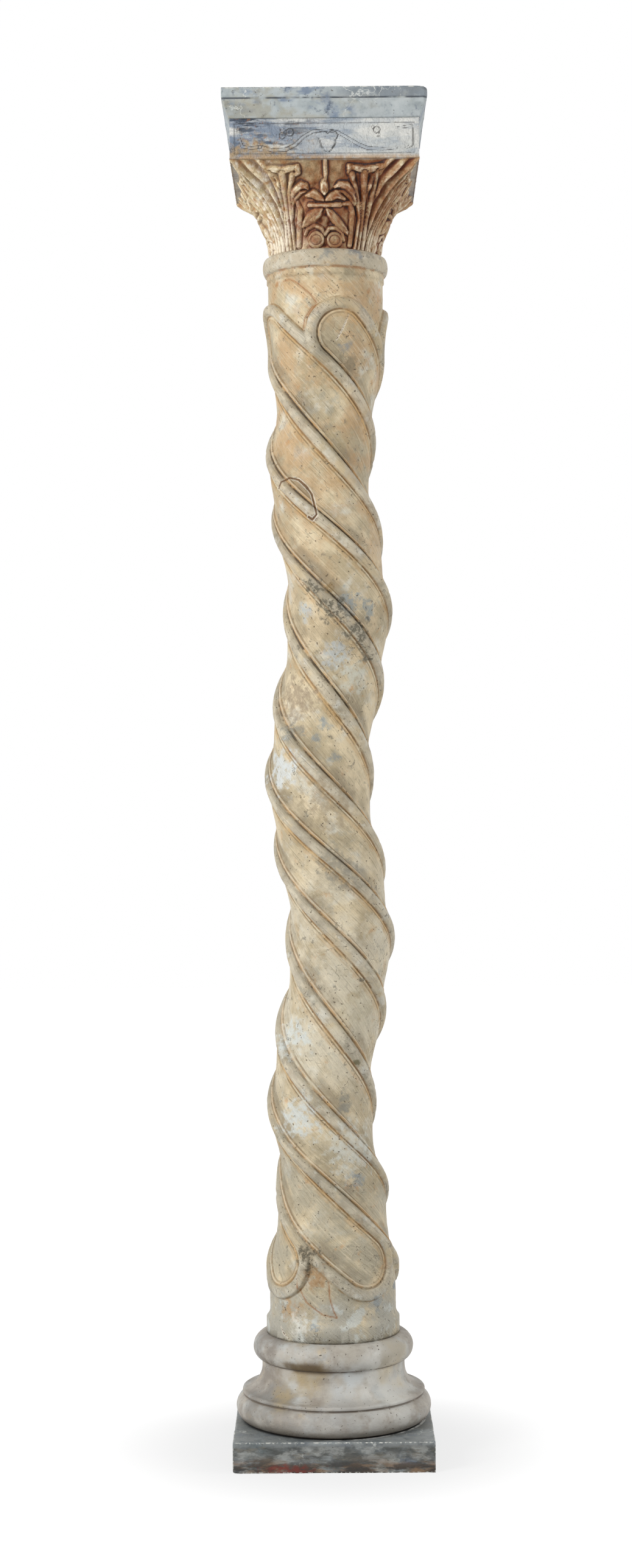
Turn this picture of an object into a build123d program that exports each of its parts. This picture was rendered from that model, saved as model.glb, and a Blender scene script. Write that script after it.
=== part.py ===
from build123d import *
import math
import os

# A marble solomonic column: plinth, turned base, twisted shaft, carved capital and abacus.
# Millimetres, +Z up, the origin in the middle of the plinth's underside, the front towards -Y.
# Angles round the column are counted from the front, and grow to the right as one faces it.

# Heights of the stones, from the floor up
plinth_height = 47.0
base_height = 138.0
shaft_height = 1702.0
bell_height = 126.0
frieze_height = 62.0
abacus_height = 45.0

# Plinth
plinth_side = 311.0

# Base: lower roll, fillet, hollow, fillet, upper roll
lower_roll_radius = 155.0
lower_roll_height = 44.0
lower_fillet_radius = 144.5
lower_fillet_height = 5.0
hollow_throat_radius = 113.0
hollow_height = 36.0
upper_fillet_height = 13.0
upper_roll_radius = 127.0
upper_roll_start = 53.0
roll_chords = 5
hollow_chords = 3
turned_sides = 36

# Shaft: collar at the foot, twisted part, fillet and half-round bead under the capital
collar_radius = 105.6
collar_height = 24.0
foot_curve_height = 13.0
foot_curve_bend = 0.35
foot_radius = 99.8
core_radius = 77.5
neck_radius = 91.0
neck_fillet_radius = 93.0
neck_fillet_height = 10.5
bead_radius = 99.3
bead_height = 28.0
bead_start = 65.0
foot_step = 0.8

# Twist: ribs that run up to the left, and the core's sway towards one of them
rib_count = 4
rib_pitch = 518.0
rib_start_angle = -120.3
rib_half_width = 9.7
rib_height = 9.7
rib_shoulder_half_width = 7.0
rib_shoulder_height = 6.0
rib_root = 5.8
core_sway = 15.5
sway_rib = 2
top_loop_below_capital = 131.0
bottom_loop_above_foot = 121.0
loop_overlap_angle = 17.0
top_swell = (258.0, 65.0)
bottom_swell = (281.0, 58.0)
top_sway_fade = (404.0, 171.0)
bottom_sway_fade = (320.0, 184.0)
core_sides = 18
core_rows = 21
rib_steps = 54
loop_steps = 8

# Capital: bell from the round neck to the square block, with its carving, and the frieze
bell_neck_radius = 84.5
bell_top_half_side = 136.0
bell_flare = 1.5
bell_squaring = 3
corner_drawing = 6
leaf_tip_inset = 1.0
block_side = 292.0
bell_rows = (0.0, 0.32, 0.58, 0.8, 1.0)
bell_sides_per_face = 6
carving_depth = 5.0
carving_root = 4.0
volute_radius = 11.5
volute_spread = 14.5
volute_height = 16.0
volute_sides = 10
panel_margin = 9.0
panel_sink = 2.5
vine_width = 5.0
vine_swing = 13.0
vine_steps = 10
heart_size = 17.0
heart_drop = 2.0
heart_steps = 10

# Leaves, stalks and knots on the bell, as points of (across, share of the bell's height, half width).
# Across runs from 0 in the middle of a face to 1 at its right corner. The first four have a twin at the left.
palm_leaf = ((0.66, 0.02, 6.0), (0.66, 0.30, 6.5), (0.60, 0.60, 8.0), (0.52, 0.82, 14.0), (0.50, 0.94, 21.0))
curled_leaf = ((0.50, 0.03, 4.0), (0.50, 0.40, 4.5), (0.44, 0.62, 5.0), (0.37, 0.72, 5.0), (0.27, 0.73, 4.5),
               (0.20, 0.69, 2.5))
slanting_leaf = ((0.06, 0.45, 2.5), (0.20, 0.40, 6.0), (0.38, 0.31, 2.5))
oval_leaf = ((0.05, 0.58, 2.5), (0.14, 0.60, 5.5), (0.24, 0.58, 2.5))
tie = ((-0.22, 0.52, 3.0), (0.0, 0.52, 3.0), (0.22, 0.52, 3.0))
bud_and_stem = ((0.0, 0.99, 3.5), (0.0, 0.80, 3.5), (0.0, 0.72, 6.5), (0.0, 0.66, 4.0))
corner_stalk = ((-1.0, 0.02, 11.0), (-1.0, 0.30, 11.0), (-1.0, 0.60, 10.0), (-1.0, 0.80, 9.0),
                (-1.0, 0.97, 5.0))

# Abacus: sloping underside, then a square face
abacus_side = 316.0
abacus_foot_side = 293.0
abacus_face_height = 15.7

# Iron dowels that pin the shaft to its base and to its capital, in square holes
dowel_side = 22.0
dowel_hole_depth = 60.0
dowel_clearance = 0.8

base_foot = plinth_height
shaft_foot = base_foot + base_height
capital_foot = shaft_foot + shaft_height
frieze_foot = capital_foot + bell_height
abacus_foot = frieze_foot + frieze_height
column_top = abacus_foot + abacus_height
twist_foot = shaft_foot + collar_height + foot_curve_height
twist_head = capital_foot - bead_height - neck_fillet_height
top_loop_height = capital_foot - top_loop_below_capital
bottom_loop_height = shaft_foot + bottom_loop_above_foot


def ease(t):
    """A soft change from 0 to 1."""
    t = max(0.0, min(1.0, t))
    return t * t * (3.0 - 2.0 * t)


def outward(angle):
    """The level direction that looks out of the column at an angle from the front."""
    turn = math.radians(angle - 90.0)
    return Vector(math.cos(turn), math.sin(turn), 0.0)


def ring_arc(centre, half_width, half_height, start, stop, chords):
    """Points of a round moulding's section, as (radius, height), from one angle to another."""
    points = []
    for i in range(chords + 1):
        turn = math.radians(start + (stop - start) * i / chords)
        points.append((centre[0] + half_width * math.cos(turn), centre[1] + half_height * math.sin(turn)))
    return points


def turned(section):
    """A turned stone from its section, as (radius, height) points from its foot to its head.

    Its rounds are fine facets, as the mouldings' curves are fine chords."""
    angles = [360.0 * i / turned_sides for i in range(turned_sides)]
    return flat_facets([[outward(angle) * r + Vector(0.0, 0.0, z) for angle in angles] for r, z in section])


def flat_facets(rings):
    """A solid skin of flat facets over a row of rings that have as many points each."""
    faces = [Face(Wire.make_polygon(rings[0], close=True)), Face(Wire.make_polygon(rings[-1], close=True))]
    for lower, upper in zip(rings, rings[1:]):
        for i in range(len(lower)):
            j = (i + 1) % len(lower)
            faces.append(Face(Wire.make_polygon([lower[i], lower[j], upper[j]], close=True)))
            faces.append(Face(Wire.make_polygon([lower[i], upper[j], upper[i]], close=True)))
    return Solid(Shell(faces))


def dowel_hole(joint):
    """The square hole that a joint's dowel fills, half in the stone below and half in the one above."""
    side = dowel_side + 2.0 * dowel_clearance
    return Pos(0.0, 0.0, joint) * Box(side, side, 2.0 * dowel_hole_depth)


def dowel(joint):
    return Pos(0.0, 0.0, joint) * Box(dowel_side, dowel_side, 2.0 * dowel_hole_depth)


def plinth():
    return Pos(0.0, 0.0, plinth_height / 2.0) * Box(plinth_side, plinth_side, plinth_height)


def base():
    roll = lower_roll_height / 2.0
    lower_centre = (lower_roll_radius - roll, base_foot + roll)
    section = ring_arc(lower_centre, roll, roll, -90.0, 90.0, roll_chords)
    fillet_foot = base_foot + lower_roll_height
    hollow_foot = fillet_foot + lower_fillet_height
    section.append((lower_fillet_radius, fillet_foot))
    hollow_centre = (lower_fillet_radius, hollow_foot + hollow_height)
    reach = lower_fillet_radius - hollow_throat_radius
    section += ring_arc(hollow_centre, reach, hollow_height, 270.0, 180.0, hollow_chords)
    upper_foot = hollow_foot + hollow_height + upper_fillet_height
    section.append((hollow_throat_radius, upper_foot))
    upper_roll = (shaft_foot - upper_foot) / (1.0 + math.sin(math.radians(upper_roll_start)))
    upper_centre = (upper_roll_radius - upper_roll, shaft_foot - upper_roll)
    section += ring_arc(upper_centre, upper_roll, upper_roll, -upper_roll_start, 90.0, roll_chords - 1)
    return turned(section) - dowel_hole(shaft_foot)


def rib_angle(z, rib):
    """Where a rib's crest line stands at a height."""
    return rib_start_angle + (capital_foot - z) * 360.0 / rib_pitch - rib * 360.0 / rib_count


def core_centre(z):
    """The twisted core sways towards one rib all the way, except near its two ends."""
    upper = ease((capital_foot - z - top_sway_fade[1]) / (top_sway_fade[0] - top_sway_fade[1]))
    lower = ease((z - shaft_foot - bottom_sway_fade[1]) / (bottom_sway_fade[0] - bottom_sway_fade[1]))
    return outward(rib_angle(z, sway_rib)) * (core_sway * upper * lower)


def core_radius_at(z):
    """The core swells into the neck at its head and into the foot at its foot."""
    upper = ease((top_swell[0] - capital_foot + z) / (top_swell[0] - top_swell[1]))
    lower = ease((bottom_swell[0] - z + shaft_foot) / (bottom_swell[0] - bottom_swell[1]))
    return core_radius + (neck_radius - core_radius) * upper + (foot_radius - core_radius) * lower


def on_core(angle, z):
    return core_centre(z) + outward(angle) * core_radius_at(z) + Vector(0.0, 0.0, z)


def loop(rib, at_top):
    """The half circle in which a rib turns back at an end, as it lies on the unrolled surface."""
    z = top_loop_height if at_top else bottom_loop_height
    per_degree = math.radians(core_radius_at(z))
    slope = math.atan2(rib_pitch / 360.0, per_degree)
    radius = 0.5 * rib_pitch / rib_count * math.cos(slope)
    half_gap = 180.0 / rib_count
    angle = rib_angle(z, rib) + (-half_gap if at_top else half_gap)
    return angle, z, radius, slope, per_degree


def rib_course(rib):
    """A rib's crest line: its loop over the band's head, its long run, its loop under the foot."""
    course = []
    half_turn = math.pi - math.radians(loop_overlap_angle)
    angle, z, radius, slope, per_degree = loop(rib, True)
    start = math.pi / 2.0 - slope
    for i in range(loop_steps + 1):
        turn = start + half_turn * (1.0 - i / loop_steps)
        course.append((angle + radius * math.cos(turn) / per_degree, z + radius * math.sin(turn)))
    head = course[-1][1]
    angle, z, radius, slope, per_degree = loop(rib, False)
    start = 1.5 * math.pi - slope
    foot = z + radius * math.sin(start)
    for i in range(1, rib_steps):
        level = head + (foot - head) * i / rib_steps
        course.append((rib_angle(level, rib), level))
    for i in range(loop_steps + 1):
        turn = start + half_turn * i / loop_steps
        course.append((angle + radius * math.cos(turn) / per_degree, z + radius * math.sin(turn)))
    return course


def bar_rings(places, outs, sections):
    """The rings of a bar along a line of places, each with its outward direction and its own section."""
    rings = []
    for i, place in enumerate(places):
        before = places[max(i - 1, 0)]
        after = places[min(i + 1, len(places) - 1)]
        along = (after - before).normalized()
        out = (outs[i] - along * outs[i].dot(along)).normalized()
        side = along.cross(out)
        rings.append([place + side * u + out * v for u, v in sections[i]])
    return rings


def rib(number):
    course = rib_course(number)
    section = [(-rib_half_width, -rib_root), (-rib_shoulder_half_width, rib_shoulder_height), (0.0, rib_height),
               (rib_shoulder_half_width, rib_shoulder_height), (rib_half_width, -rib_root)]
    places = [on_core(angle, z) for angle, z in course]
    return flat_facets(bar_rings(places, [outward(angle) for angle, z in course], [section] * len(course)))


def shaft():
    """Turned foot and head, a twisted core between them, and the ribs carved on it."""
    collar_head = shaft_foot + collar_height
    bend = (foot_radius + foot_curve_bend * (collar_radius - foot_radius),
            collar_head + foot_curve_bend * foot_curve_height)
    foot = turned([(collar_radius, shaft_foot), (collar_radius, collar_head), bend,
                   (foot_radius + foot_step, twist_foot)])
    levels = [twist_foot + (twist_head - twist_foot) * i / core_rows for i in range(core_rows + 1)]
    angles = [360.0 * i / core_sides for i in range(core_sides)]
    core = flat_facets([[on_core(angle, z) for angle in angles] for z in levels])
    bead_foot = capital_foot - bead_height
    bead = bead_height / 2.0
    head = turned([(neck_fillet_radius, twist_head), (neck_fillet_radius, bead_foot)]
                  + ring_arc((neck_fillet_radius, bead_foot + bead), bead_radius - neck_fillet_radius, bead,
                             -bead_start, 90.0, roll_chords - 1))
    whole = core.fuse(foot, head, *[rib(number) for number in range(rib_count)])
    return whole - dowel_hole(shaft_foot) - dowel_hole(capital_foot)


def bell_point(across, share):
    """A point of the bell's front face: across from -1 to 1 between its corners, share of its height.

    The section is round at the neck and square under the block, with its corners drawn out."""
    radius = bell_neck_radius + (bell_top_half_side - bell_neck_radius) * share ** bell_flare
    square = share ** bell_squaring
    corner = radius * (block_side / 2.0 - leaf_tip_inset) / bell_top_half_side
    turn = math.radians(45.0 * across)
    drawn_out = radius + (corner - radius) * across ** corner_drawing
    x = (1.0 - square) * radius * math.sin(turn) + square * corner * across
    y = (1.0 - square) * radius * math.cos(turn) + square * drawn_out
    return Vector(x, -y, capital_foot + bell_height * share)


def bell_normal(across, share):
    """The direction out of the bell's front face."""
    step = 0.02
    low = max(share - step, 0.0)
    high = min(share + step, 1.0)
    up = bell_point(across, high) - bell_point(across, low)
    aside = bell_point(across + step, share) - bell_point(across - step, share)
    return aside.cross(up).normalized()


def carved(course, side=1):
    """A leaf or stalk that lies on the bell along its course, or its twin on the left side."""
    places = [bell_point(side * across, share) for across, share, width in course]
    outs = [bell_normal(side * across, share) for across, share, width in course]
    sections = [[(-width, -carving_root), (0.0, carving_depth), (width, -carving_root)]
                for across, share, width in course]
    return flat_facets(bar_rings(places, outs, sections))


def volute(side):
    """One of the two round eyes at the foot of a face's carving."""
    across = side * volute_spread / (bell_neck_radius * math.pi / 4.0)
    share = volute_height / bell_height
    centre = bell_point(across, share)
    eye = Plane(origin=centre, z_dir=bell_normal(across, share))
    outline = eye * RegularPolygon(volute_radius, volute_sides)
    return extrude(outline, carving_depth) + extrude(outline, -carving_root)


def face_carving():
    """The carving of the front face and of its left corner: two halves alike, and what stands in the middle."""
    pieces = [carved(course) for course in (tie, bud_and_stem, corner_stalk)]
    for side in (-1, 1):
        pieces += [carved(course, side) for course in (palm_leaf, curled_leaf, slanting_leaf, oval_leaf)]
        pieces.append(volute(side))
    return pieces


def frieze_field():
    """The sunk field of a panel, with a vine in a wave and a heart-shaped leaf left standing."""
    half = block_side / 2.0 - panel_margin
    low = frieze_foot + panel_margin
    high = abacus_foot - panel_margin
    middle = (low + high) / 2.0
    front = -block_side / 2.0
    field = Pos(0.0, front, middle) * Box(2.0 * half, 2.0 * panel_sink, high - low)
    above = []
    below = []
    for i in range(vine_steps + 1):
        x = (half - vine_width) * (2.0 * i / vine_steps - 1.0)
        z = middle + vine_swing * math.cos(2.0 * math.pi * x / half)
        above.append((x, front, z + vine_width / 2.0))
        below.append((x, front, z - vine_width / 2.0))
    vine = extrude(make_face(Polyline(above + below[::-1], close=True)), panel_sink, dir=(0.0, 1.0, 0.0))
    heart = []
    for i in range(heart_steps):
        turn = 2.0 * math.pi * (i + 0.5) / heart_steps
        x = heart_size * math.sin(turn) ** 3
        z = middle - heart_drop + heart_size / 16.0 * (13.0 * math.cos(turn) - 5.0 * math.cos(2.0 * turn)
                                                  - 2.0 * math.cos(3.0 * turn) - math.cos(4.0 * turn))
        heart.append((x, front, z))
    leaf = extrude(make_face(Polyline(heart, close=True)), panel_sink, dir=(0.0, 1.0, 0.0))
    return field - vine - leaf


def capital():
    """One stone: the bell with its leaves, and the square block with its carved panels."""
    rings = []
    for share in bell_rows:
        ring = []
        for quarter in range(4):
            for i in range(bell_sides_per_face):
                across = 2.0 * i / bell_sides_per_face - 1.0
                ring.append(bell_point(across, share).rotate(Axis.Z, 90.0 * quarter))
        rings.append(ring)
    bell = flat_facets(rings)
    block = Pos(0.0, 0.0, frieze_foot + frieze_height / 2.0) * Box(block_side, block_side, frieze_height)
    carving = face_carving()
    all_round = [piece.rotate(Axis.Z, 90.0 * quarter) for quarter in range(4) for piece in carving]
    whole = bell.fuse(block, *all_round)
    field = frieze_field()
    for quarter in range(4):
        whole = whole - field.rotate(Axis.Z, 90.0 * quarter)
    return whole - dowel_hole(capital_foot)


def abacus():
    slope_head = column_top - abacus_face_height
    foot = Pos(0.0, 0.0, abacus_foot) * Rectangle(abacus_foot_side, abacus_foot_side)
    head = Pos(0.0, 0.0, slope_head) * Rectangle(abacus_side, abacus_side)
    slope = loft([foot, head], ruled=True)
    face_middle = slope_head + abacus_face_height / 2.0
    face = Pos(0.0, 0.0, face_middle) * Box(abacus_side, abacus_side, abacus_face_height)
    return slope + face


os.makedirs("parts", exist_ok=True)
export_step(plinth(), "parts/plinth.step")
export_step(base(), "parts/base.step")
export_step(shaft(), "parts/shaft.step")
export_step(capital(), "parts/capital.step")
export_step(abacus(), "parts/abacus.step")
export_step(dowel(shaft_foot), "parts/base_dowel.step")
export_step(dowel(capital_foot), "parts/neck_dowel.step")
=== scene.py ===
import math

import bpy
import numpy as np
from mathutils import Matrix, Vector


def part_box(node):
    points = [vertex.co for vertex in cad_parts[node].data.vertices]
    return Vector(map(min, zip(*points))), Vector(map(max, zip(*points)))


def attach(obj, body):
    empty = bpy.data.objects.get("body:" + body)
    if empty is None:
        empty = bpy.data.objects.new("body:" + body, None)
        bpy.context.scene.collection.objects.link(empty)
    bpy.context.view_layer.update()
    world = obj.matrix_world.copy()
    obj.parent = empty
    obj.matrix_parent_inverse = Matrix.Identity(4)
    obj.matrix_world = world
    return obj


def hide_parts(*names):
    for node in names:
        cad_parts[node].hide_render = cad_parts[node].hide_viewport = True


# A weathered marble solomonic column. Lengths are millimetres until a mesh is made, which is in metres.
# The front looks towards -Y. Angles round the column count from the front and grow to the right.

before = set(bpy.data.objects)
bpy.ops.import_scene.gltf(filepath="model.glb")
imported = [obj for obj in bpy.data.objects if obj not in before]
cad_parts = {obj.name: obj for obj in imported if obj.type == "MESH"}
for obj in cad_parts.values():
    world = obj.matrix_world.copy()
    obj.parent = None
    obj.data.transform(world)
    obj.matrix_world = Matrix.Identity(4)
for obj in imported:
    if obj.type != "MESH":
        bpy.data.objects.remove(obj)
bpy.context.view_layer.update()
MM = 0.001
MATH = "ShaderNodeMath"
VECTOR_MATH = "ShaderNodeVectorMath"


def level(node, end):
    """The height in millimetres of a stone's foot (0) or head (1)."""
    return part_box(node)[end].z / MM


PLINTH_HEAD = level("plinth", 1)
BASE_HEAD = level("base", 1)
CAPITAL_FOOT = level("capital", 0)
CAPITAL_HEAD = level("capital", 1)
COLUMN_HEAD = level("abacus", 1)

# Camera: the height of its eye, its distance from the column's axis, and how it is turned, in degrees
EYE_HEIGHT = 1047.0
EYE_DISTANCE = 3911.0
LENS = 56.4
EYE_YAW = 0.307
EYE_PITCH = 0.099
EYE_ROLL = -0.43

# Light, in metres and watts. A lamp has its size, its power, its place and the point that it looks at
AMBIENT = 0.36
LAMPS = {"key": ((1.3, 2.0), 124.0, (-2.9, -2.2, 2.1), (0.0, 0.0, 1.3)),
         "rim": ((1.2, 2.4), 42.0, (2.9, -0.7, 1.6), (0.0, 0.0, 1.2)),
         "front": ((1.2, 1.2), 16.0, (0.8, -3.4, 2.6), (0.0, 0.0, 1.6))}
FLOOR_HALF = 9000.0
# The floor's glow: metres from the axis and strength, where it is weakest and where it is full. The
# weaker glow near the column is a painted shadow round the plinth
GLOW_NEAR = (0.17, 0.98)
GLOW_FAR = (0.48, 1.25)
GLOW_SHARE = 0.8

# Shaft
RIB_COUNT = 4
RIB_PITCH = 518.0
RIB_START = -120.3
SWAY_RIB = 2
CORE_SWAY = 15.5
CORE_RADIUS = 77.5
NECK_RADIUS = 91.0
FOOT_RADIUS = 99.8
TOP_LOOP = CAPITAL_FOOT - 131.0
BOTTOM_LOOP = BASE_HEAD + 121.0
# Distances from the shaft's head and foot: where the core starts and ends to swell, and to sway
TOP_SWELL = (258.0, 65.0)
BOTTOM_SWELL = (281.0, 58.0)
TOP_SWAY = (171.0, 404.0)
BOTTOM_SWAY = (184.0, 320.0)
COLLAR_RADIUS = 105.6
COLLAR_HEAD = BASE_HEAD + 24.0
FOOT_CURVE_HEAD = COLLAR_HEAD + 13.0
BEAD_FOOT = CAPITAL_FOOT - 28.0
BEAD_RADIUS = 99.3
NECK_FILLET_FOOT = BEAD_FOOT - 10.5
NECK_FILLET_RADIUS = 93.0
SKIN_STEP = 1.9
SHAFT_TRIANGLES = 195000

# Base, capital and slabs
LOWER_ROLL = 44.0
LOWER_ROLL_RADIUS = 155.0
UPPER_ROLL = 44.4
UPPER_ROLL_RADIUS = 127.0
FRIEZE_HEIGHT = 62.0
FRIEZE_DEPTH = 1.6
BELL_HEIGHT = CAPITAL_HEAD - CAPITAL_FOOT - FRIEZE_HEIGHT
BLOCK_FOOT = CAPITAL_FOOT + BELL_HEIGHT
NECK_HALF = 84.5
BELL_GROWTH = 51.5
BLOCK_HALF = 146.0
PLINTH_HALF = 155.5
ABACUS_HALF = 158.0
# The slabs' half widths over their heights, and the places and reaches of their larger chips
PLINTH_SIDE = ((0.0, PLINTH_HALF), (PLINTH_HEAD, PLINTH_HALF))
PLINTH_CHIPS = (((PLINTH_HALF, -PLINTH_HALF, 20.0), 5.0), ((-PLINTH_HALF, -PLINTH_HALF, 2.0), 5.0))
ABACUS_SIDE = ((CAPITAL_HEAD, 146.5), (CAPITAL_HEAD + 0.8, 147.5), (COLUMN_HEAD - 17.6, 157.0),
               (COLUMN_HEAD - 16.8, 155.2), (COLUMN_HEAD - 16.0, 155.4), (COLUMN_HEAD - 15.2, ABACUS_HALF),
               (COLUMN_HEAD, ABACUS_HALF))
ABACUS_CHIPS = (((ABACUS_HALF, -ABACUS_HALF, COLUMN_HEAD), 9.0),
                ((ABACUS_HALF, -ABACUS_HALF, COLUMN_HEAD - 15.0), 6.0))

# Section beside a rib: distance from its crest line, then height over the core. The band above a roll has a
# sharp groove, a raised fillet and a soft hollow beside it, and the band below has a thinner fillet.
UPPER_SECTION = ((0, 9.7), (4, 9), (6.5, 7.1), (8, 4.9), (8.9, 2.2), (9.8, -0.6), (11, 2.8), (12.6, 3.7),
    (14.4, 3.1), (15.6, 0.8), (18, -0.8), (23, -2.4), (31, -1.9), (46, -1.9))
LOWER_SECTION = ((0, 9.7), (4, 9), (6.5, 7.1), (8, 4.9), (8.9, 2.4), (9.9, 0), (11.2, 2.5), (13.4, 2.4),
    (14.6, 1), (15.6, 2.5), (17.2, 2.2), (18.2, 1.5), (22, 1.5), (30, 0.2), (46, -1.9))
# Outside the loops the surface is plain, and only a groove follows the rib
PLAIN_SECTION = ((0, 9.4), (4, 8.7), (6.5, 6.8), (8, 4.5), (9.2, 1.2), (10, -0.3), (11.2, 0.1), (14, 0))
# Scars on the front: a half width, then points of (across, up). The first is the edge of an old repair
SCARS = (
    (2, (-75.1, 1518.3), (-71.6, 1526.3), (-57.5, 1532.8), (-43.8, 1528.7), (-32, 1517.6), (-23.7, 1504.9),
     (-20, 1488.6), (-16.2, 1471.6), (-22.7, 1464.7), (-28.7, 1469.1)),
    (0.7, (35.5, 1783.3), (25.1, 1760.4), (16, 1745.1)),
    (0.8, (-81.5, 205.3), (-77.5, 195.6), (-68.3, 187.9)),
)
# Lines that a chisel cut into the plain ends, as points of (angle, height over the shaft's foot)
CUT_LINES = (
    ((-46.6, 1657), (-37, 1657.5), (-28.9, 1651), (-15.7, 1632.5), (-8.7, 1617.5)),
    ((-9.5, 1615), (-17.5, 1598), (-20, 1580)), ((-12.5, 1613), (-21, 1596), (-23.5, 1578)),
    ((-33, 92), (-30.5, 80.2), (-24.6, 62.8), (-9.5, 44.8), (3.6, 39.8)),
    ((-4, 96), (-2.7, 69), (0.5, 50.4), (3.6, 39.8)),
)


def linear(code):
    """An sRGB hex colour as Blender's linear colour."""
    parts = [int(code[i:i + 2], 16) / 255.0 for i in (1, 3, 5)]
    return [c / 12.92 if c <= 0.04045 else ((c + 0.055) / 1.055) ** 2.4 for c in parts] + [1.0]


def add(tree, kind, inputs=None, **settings):
    """Adds a node with its settings, sets or links its inputs by name or number, and gives its outputs."""
    node = tree.nodes.new(kind)
    for key, value in settings.items():
        setattr(node, key, value)
    for key, value in (inputs or {}).items():
        if isinstance(value, bpy.types.NodeSocket):
            tree.links.new(value, node.inputs[key])
        else:
            node.inputs[key].default_value = value
    return node.outputs


def emptied(block):
    """A new material or world, and its node tree with no node in it yet."""
    block.use_nodes = True
    block.node_tree.nodes.clear()
    return block, block.node_tree


def new_group(name, inputs, output):
    """A geometry node group with its inputs, by name and kind, and its output."""
    tree = bpy.data.node_groups.new(name, "GeometryNodeTree")
    for label, kind in inputs.items():
        tree.interface.new_socket(label, in_out="INPUT", socket_type="NodeSocket" + kind)
    tree.interface.new_socket(output, in_out="OUTPUT", socket_type="NodeSocketGeometry")
    return tree


def between(t, zero, one):
    """An eased rise from 0 where t is at zero or beyond to 1 where it is at one or beyond."""
    t = np.clip((t - zero) / (one - zero), 0.0, 1.0)
    return t * t * (3.0 - 2.0 * t)


def ridge(t, width):
    """A soft ridge, 1 at its crest where t is 0."""
    return np.exp(-(t / width) ** 2)


def dome(t, power=2.0):
    """A round back, 1 in its middle where t is 0, and 0 from t = 1 on."""
    return np.sqrt(np.clip(1.0 - np.abs(t) ** power, 0.0, 1.0))


# Odd numbers and shifts that mix the cell that a point lies in, and a seed, into a random number
CELL_MIX = np.array([73856093, 19349663, 83492791])
SEED_MIX = 2654435
MIX_STEPS = ((13, 1274126177), (16, 1103515245))
MIDDLE_MIX = 0x3fffffff


def lumps(points, size, seed):
    """Soft random lumps from -1 to 1, about as wide as size, at each point."""
    place = points / size + seed * 17.31
    cell = np.floor(place).astype(np.int64)
    part = place - cell
    part = part * part * (3.0 - 2.0 * part)
    total = np.zeros(len(points))
    for corner in range(8):
        step = np.array([corner & 1, corner >> 1 & 1, corner >> 2])
        mixed = np.bitwise_xor.reduce((cell + step) * CELL_MIX, axis=1) ^ (seed * SEED_MIX)
        for shift, factor in MIX_STEPS:
            mixed = (mixed ^ (mixed >> shift)) * factor & (2 * MIDDLE_MIX + 1)
        weight = np.prod(np.where(step == 1, part, 1.0 - part), axis=1)
        total += weight * (mixed / MIDDLE_MIX - 1.0)
    return total


def waves(points, seed, *layers):
    """Soft waves all over, in layers of (height, size)."""
    return sum(height * lumps(points, size, seed + i) for i, (height, size) in enumerate(layers))


def losses(points, seed, *layers):
    """How deep stone is gone, in layers of (depth, size, the level that random lumps have to pass)."""
    return sum(depth * np.clip(lumps(points, size, seed + i) - over, 0.0, 1.0)
               for i, (depth, size, over) in enumerate(layers))


def off_course(across, up, course):
    """How far each point lies from a course, as a share of the course's own half width there."""
    nearest = np.full(across.shape, 1e3)
    for (x0, y0, w0), (x1, y1, w1) in zip(course, course[1:]):
        run, rise = x1 - x0, y1 - y0
        share = np.clip(((across - x0) * run + (up - y0) * rise) / (run * run + rise * rise), 0.0, 1.0)
        away = np.hypot(across - x0 - share * run, up - y0 - share * rise)
        nearest = np.minimum(nearest, away / (w0 + (w1 - w0) * share))
    return nearest


def set_points(mesh, points, unit=MM):
    """Moves the mesh's points to these places, given in millimetres or in another unit."""
    mesh.vertices.foreach_set("co", (points * unit).astype(np.float32).ravel())


def skin(name, points, wrap):
    """A mesh of quads over a grid of points in millimetres. With wrap, its last column meets its first."""
    rows, columns = points.shape[:2]
    index = np.arange(rows * columns).reshape(rows, columns)
    if wrap:
        index = np.concatenate([index, index[:, :1]], axis=1)
    quads = np.stack([index[:-1, :-1], index[:-1, 1:], index[1:, 1:], index[1:, :-1]], axis=-1).reshape(-1, 4)
    mesh = bpy.data.meshes.new(name)
    mesh.vertices.add(rows * columns)
    set_points(mesh, points)
    mesh.loops.add(quads.size)
    mesh.loops.foreach_set("vertex_index", quads.ravel().astype(np.int32))
    mesh.polygons.add(len(quads))
    mesh.polygons.foreach_set("loop_start", np.arange(0, quads.size, 4, dtype=np.int32))
    mesh.update(calc_edges=True)
    return mesh


def corners(mesh):
    """The mesh's points, in millimetres."""
    flat = np.zeros(len(mesh.vertices) * 3, np.float32)
    mesh.vertices.foreach_get("co", flat)
    return flat.reshape(-1, 3).astype(float) / MM


def store(mesh, name, values):
    """Keeps a number, or a vector, at each point of the mesh, for its material."""
    values = np.ascontiguousarray(values, np.float32)
    vector = values.size == 3 * len(mesh.vertices)
    layer = mesh.attributes.new(name, "FLOAT_VECTOR" if vector else "FLOAT", "POINT")
    layer.data.foreach_set("vector" if vector else "value", values.ravel())


def show(name, mesh):
    """Puts a mesh, lamp or camera into the scene under its name."""
    piece = bpy.data.objects.new(name, mesh)
    bpy.context.scene.collection.objects.link(piece)
    return piece


def close_group(tree, shape, gap, stone):
    """Ends a node group: its shape made real, its seams closed over a gap, and its stone on it."""
    whole = add(tree, "GeometryNodeRealizeInstances", {"Geometry": shape})[0]
    closed = add(tree, "GeometryNodeMergeByDistance", {"Geometry": whole, "Distance": gap})[0]
    coated = add(tree, "GeometryNodeSetMaterial", {"Geometry": closed, "Material": stone})[0]
    add(tree, "NodeGroupOutput", {0: coated})
    return tree


def baked(piece, modifiers):
    """Turns a piece and its modifiers into a plain mesh, and takes the modifiers off."""
    bpy.context.view_layer.update()
    result = bpy.data.meshes.new_from_object(piece.evaluated_get(bpy.context.evaluated_depsgraph_get()))
    for modifier in modifiers:
        piece.modifiers.remove(modifier)
    piece.data = result
    result.name = piece.name
    result.shade_smooth()


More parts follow.
